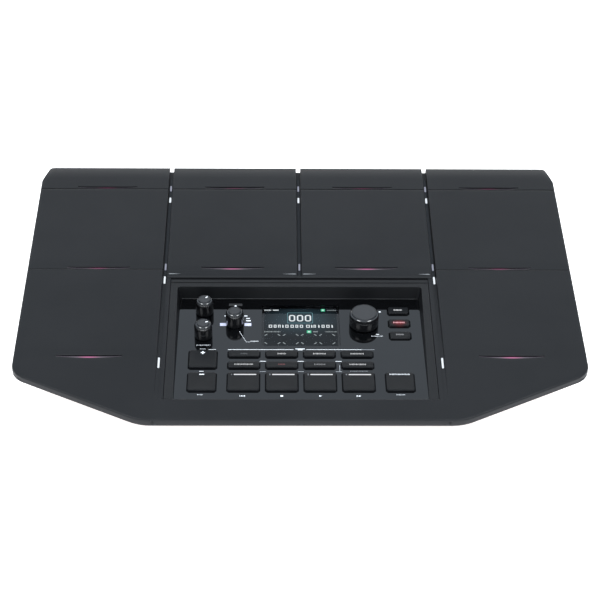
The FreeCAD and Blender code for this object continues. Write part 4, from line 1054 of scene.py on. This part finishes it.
slivers = {"ends": ((126.5, 115.5), (-3.2, -16.0), (3.2, 16.0), (-126.5, -115.5)), "y": 13.3, "half": 0.5,
           "low": -0.31, "crown": 0.05, "depth": 0.25}


def buildSlivers():
    # painted light that the gap guides would throw on the front corners of the centre pads: thin tapered glowing
    # strips lying on them
    share = np.linspace(0, 1, 13)
    across = np.linspace(-1, 1, 5)[:, None]
    half = slivers["half"] * np.minimum(1, share * 6 + 0.3) * (1.03 - share) ** 1.1
    s = along(slivers["y"]) + half * across
    n = slivers["low"] + slivers["crown"] * (1 - across ** 2) - slivers["crown"] * (1 - np.minimum(1, share * 8))
    shells = []
    for start, end in slivers["ends"]:
        x = start + (end - start) * share
        rings = np.concatenate([onDeck(x, s, n), onDeck(x, s, n - slivers["depth"])[::-1]]).transpose(1, 0, 2)
        points, sides = closeRings(rings)
        shells.append((points, sides if end > start else [side[::-1] for side in sides]))
    addPiece("pad_corner_painted_light", joined(shells), "paintedCornerLight", sharp=50.0)


buildPadLips()
buildBezelTrim()
buildSlivers()
print("trim built")


# Looks of the CAD nodes that stay
nodeLooks = {"upper_housing": "housing", "lower_housing": "housing", "recess_bezel": "bezel",
             "panel_plate": "gloss", "display_lens": "lens", "display_module": "screen",
             "panel_circuit_board": "board", "main_circuit_board": "board", "pad_backing_plates": "steel",
             "pad_sensors": "brass", "pad_sensor_foams": "foam", "gap_light_guides": "gapGlow",
             "phone_jacks": "darkPlastic", "phone_jack_nuts": "nickel", "usb_ports": "nickel",
             "dc_socket": "darkPlastic", "rubber_feet": "foot", "case_screws": "blackScrew",
             "stand_inserts": "brass", "push_switches": "darkPlastic", "pot_bodies": "steel",
             "encoder_body": "steel", "dial_plunger": "darkPlastic", "power_button": "key"}
for node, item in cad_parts.items():
    look = nodeLooks.get(node, "steel" if node.endswith("_shaft") else "key")
    item.data.materials.clear()
    item.data.materials.append(materials[look])


# Studio: white room, large soft boxes, pale floor, the photograph's camera
warm, cool = (1.0, 0.96, 0.9), (0.95, 0.98, 1.0)
studio = {"world": (0.885, 1.0, 1.13, 1.0), "floor": (0.93, 0.93, 0.93), "floorDark": (0.91, 0.91, 0.91),
          "floorGlow": (0.86, 0.80, 0.76), "floorHalf": 6.0,
          "camera": (-0.0255969, -1.3023998, 1.0564923), "turn": (51.71497, -0.65168, -0.63533), "lens": 102.5388,
          # place, turn, size, watts and colour of each soft box
          "boxes": {"left": ((-0.86, -0.80, 1.15), (45, 0, -46), (0.62, 0.42), 10, cool),
                    "right": ((0.86, -0.80, 1.15), (45, 0, 46), (0.62, 0.42), 10, cool),
                    "rear": ((0.0, 2.5, 0.74), (-74, 0, 0), (3.4, 0.7), 24.5, warm),
                    "front": ((0.0, -2.6, 0.27), (85, 0, 0), (3.4, 0.42), 36, cool),
                    "top": ((0.0, 0.1, 2.6), (0, 0, 0), (2.2, 1.4), 23, cool)}}


def setUp(name, data, place=(0, 0, 0), turn=(0, 0, 0)):
    item = bpy.data.objects.new(name, data)
    item.location = place
    item.rotation_euler = Euler([math.radians(v) for v in turn])
    bpy.context.scene.collection.objects.link(item)
    return item


def buildStudio():
    scene = bpy.context.scene
    scene.view_settings.view_transform = "Standard"
    scene.world = bpy.data.worlds.new("studio_world")
    scene.world.use_nodes = True
    back = scene.world.node_tree.nodes["Background"]
    back.inputs[0].default_value = studio["world"]
    back.inputs[1].default_value = 1.0
    half = studio["floorHalf"]
    mesh = bpy.data.meshes.new("floor")
    mesh.from_pydata([(-half, -half, 0), (half, -half, 0), (half, half, 0), (-half, half, 0)], [], [(0, 1, 2, 3)])
    b = Board("floor_paper")
    mesh.materials.append(b.set(color=b.blend(b.noise(3.0), studio["floor"], studio["floorDark"]), roughness=0.85,
                                specular=0.1, glow=studio["floorGlow"], glowStrength=1.0))
    setUp("floor", mesh)
    for name, (place, turn, size, power, colour) in studio["boxes"].items():
        light = bpy.data.lights.new("soft_box_" + name, "AREA")
        light.shape = "RECTANGLE"
        light.size, light.size_y = size
        light.energy = power
        light.color = colour
        setUp("soft_box_" + name, light, place, turn)
    view = bpy.data.cameras.new("camera")
    view.lens = studio["lens"]
    view.sensor_width = 36.0
    view.clip_end = 50.0
    scene.camera = setUp("camera", view, studio["camera"], studio["turn"])


buildStudio()
print("studio built")
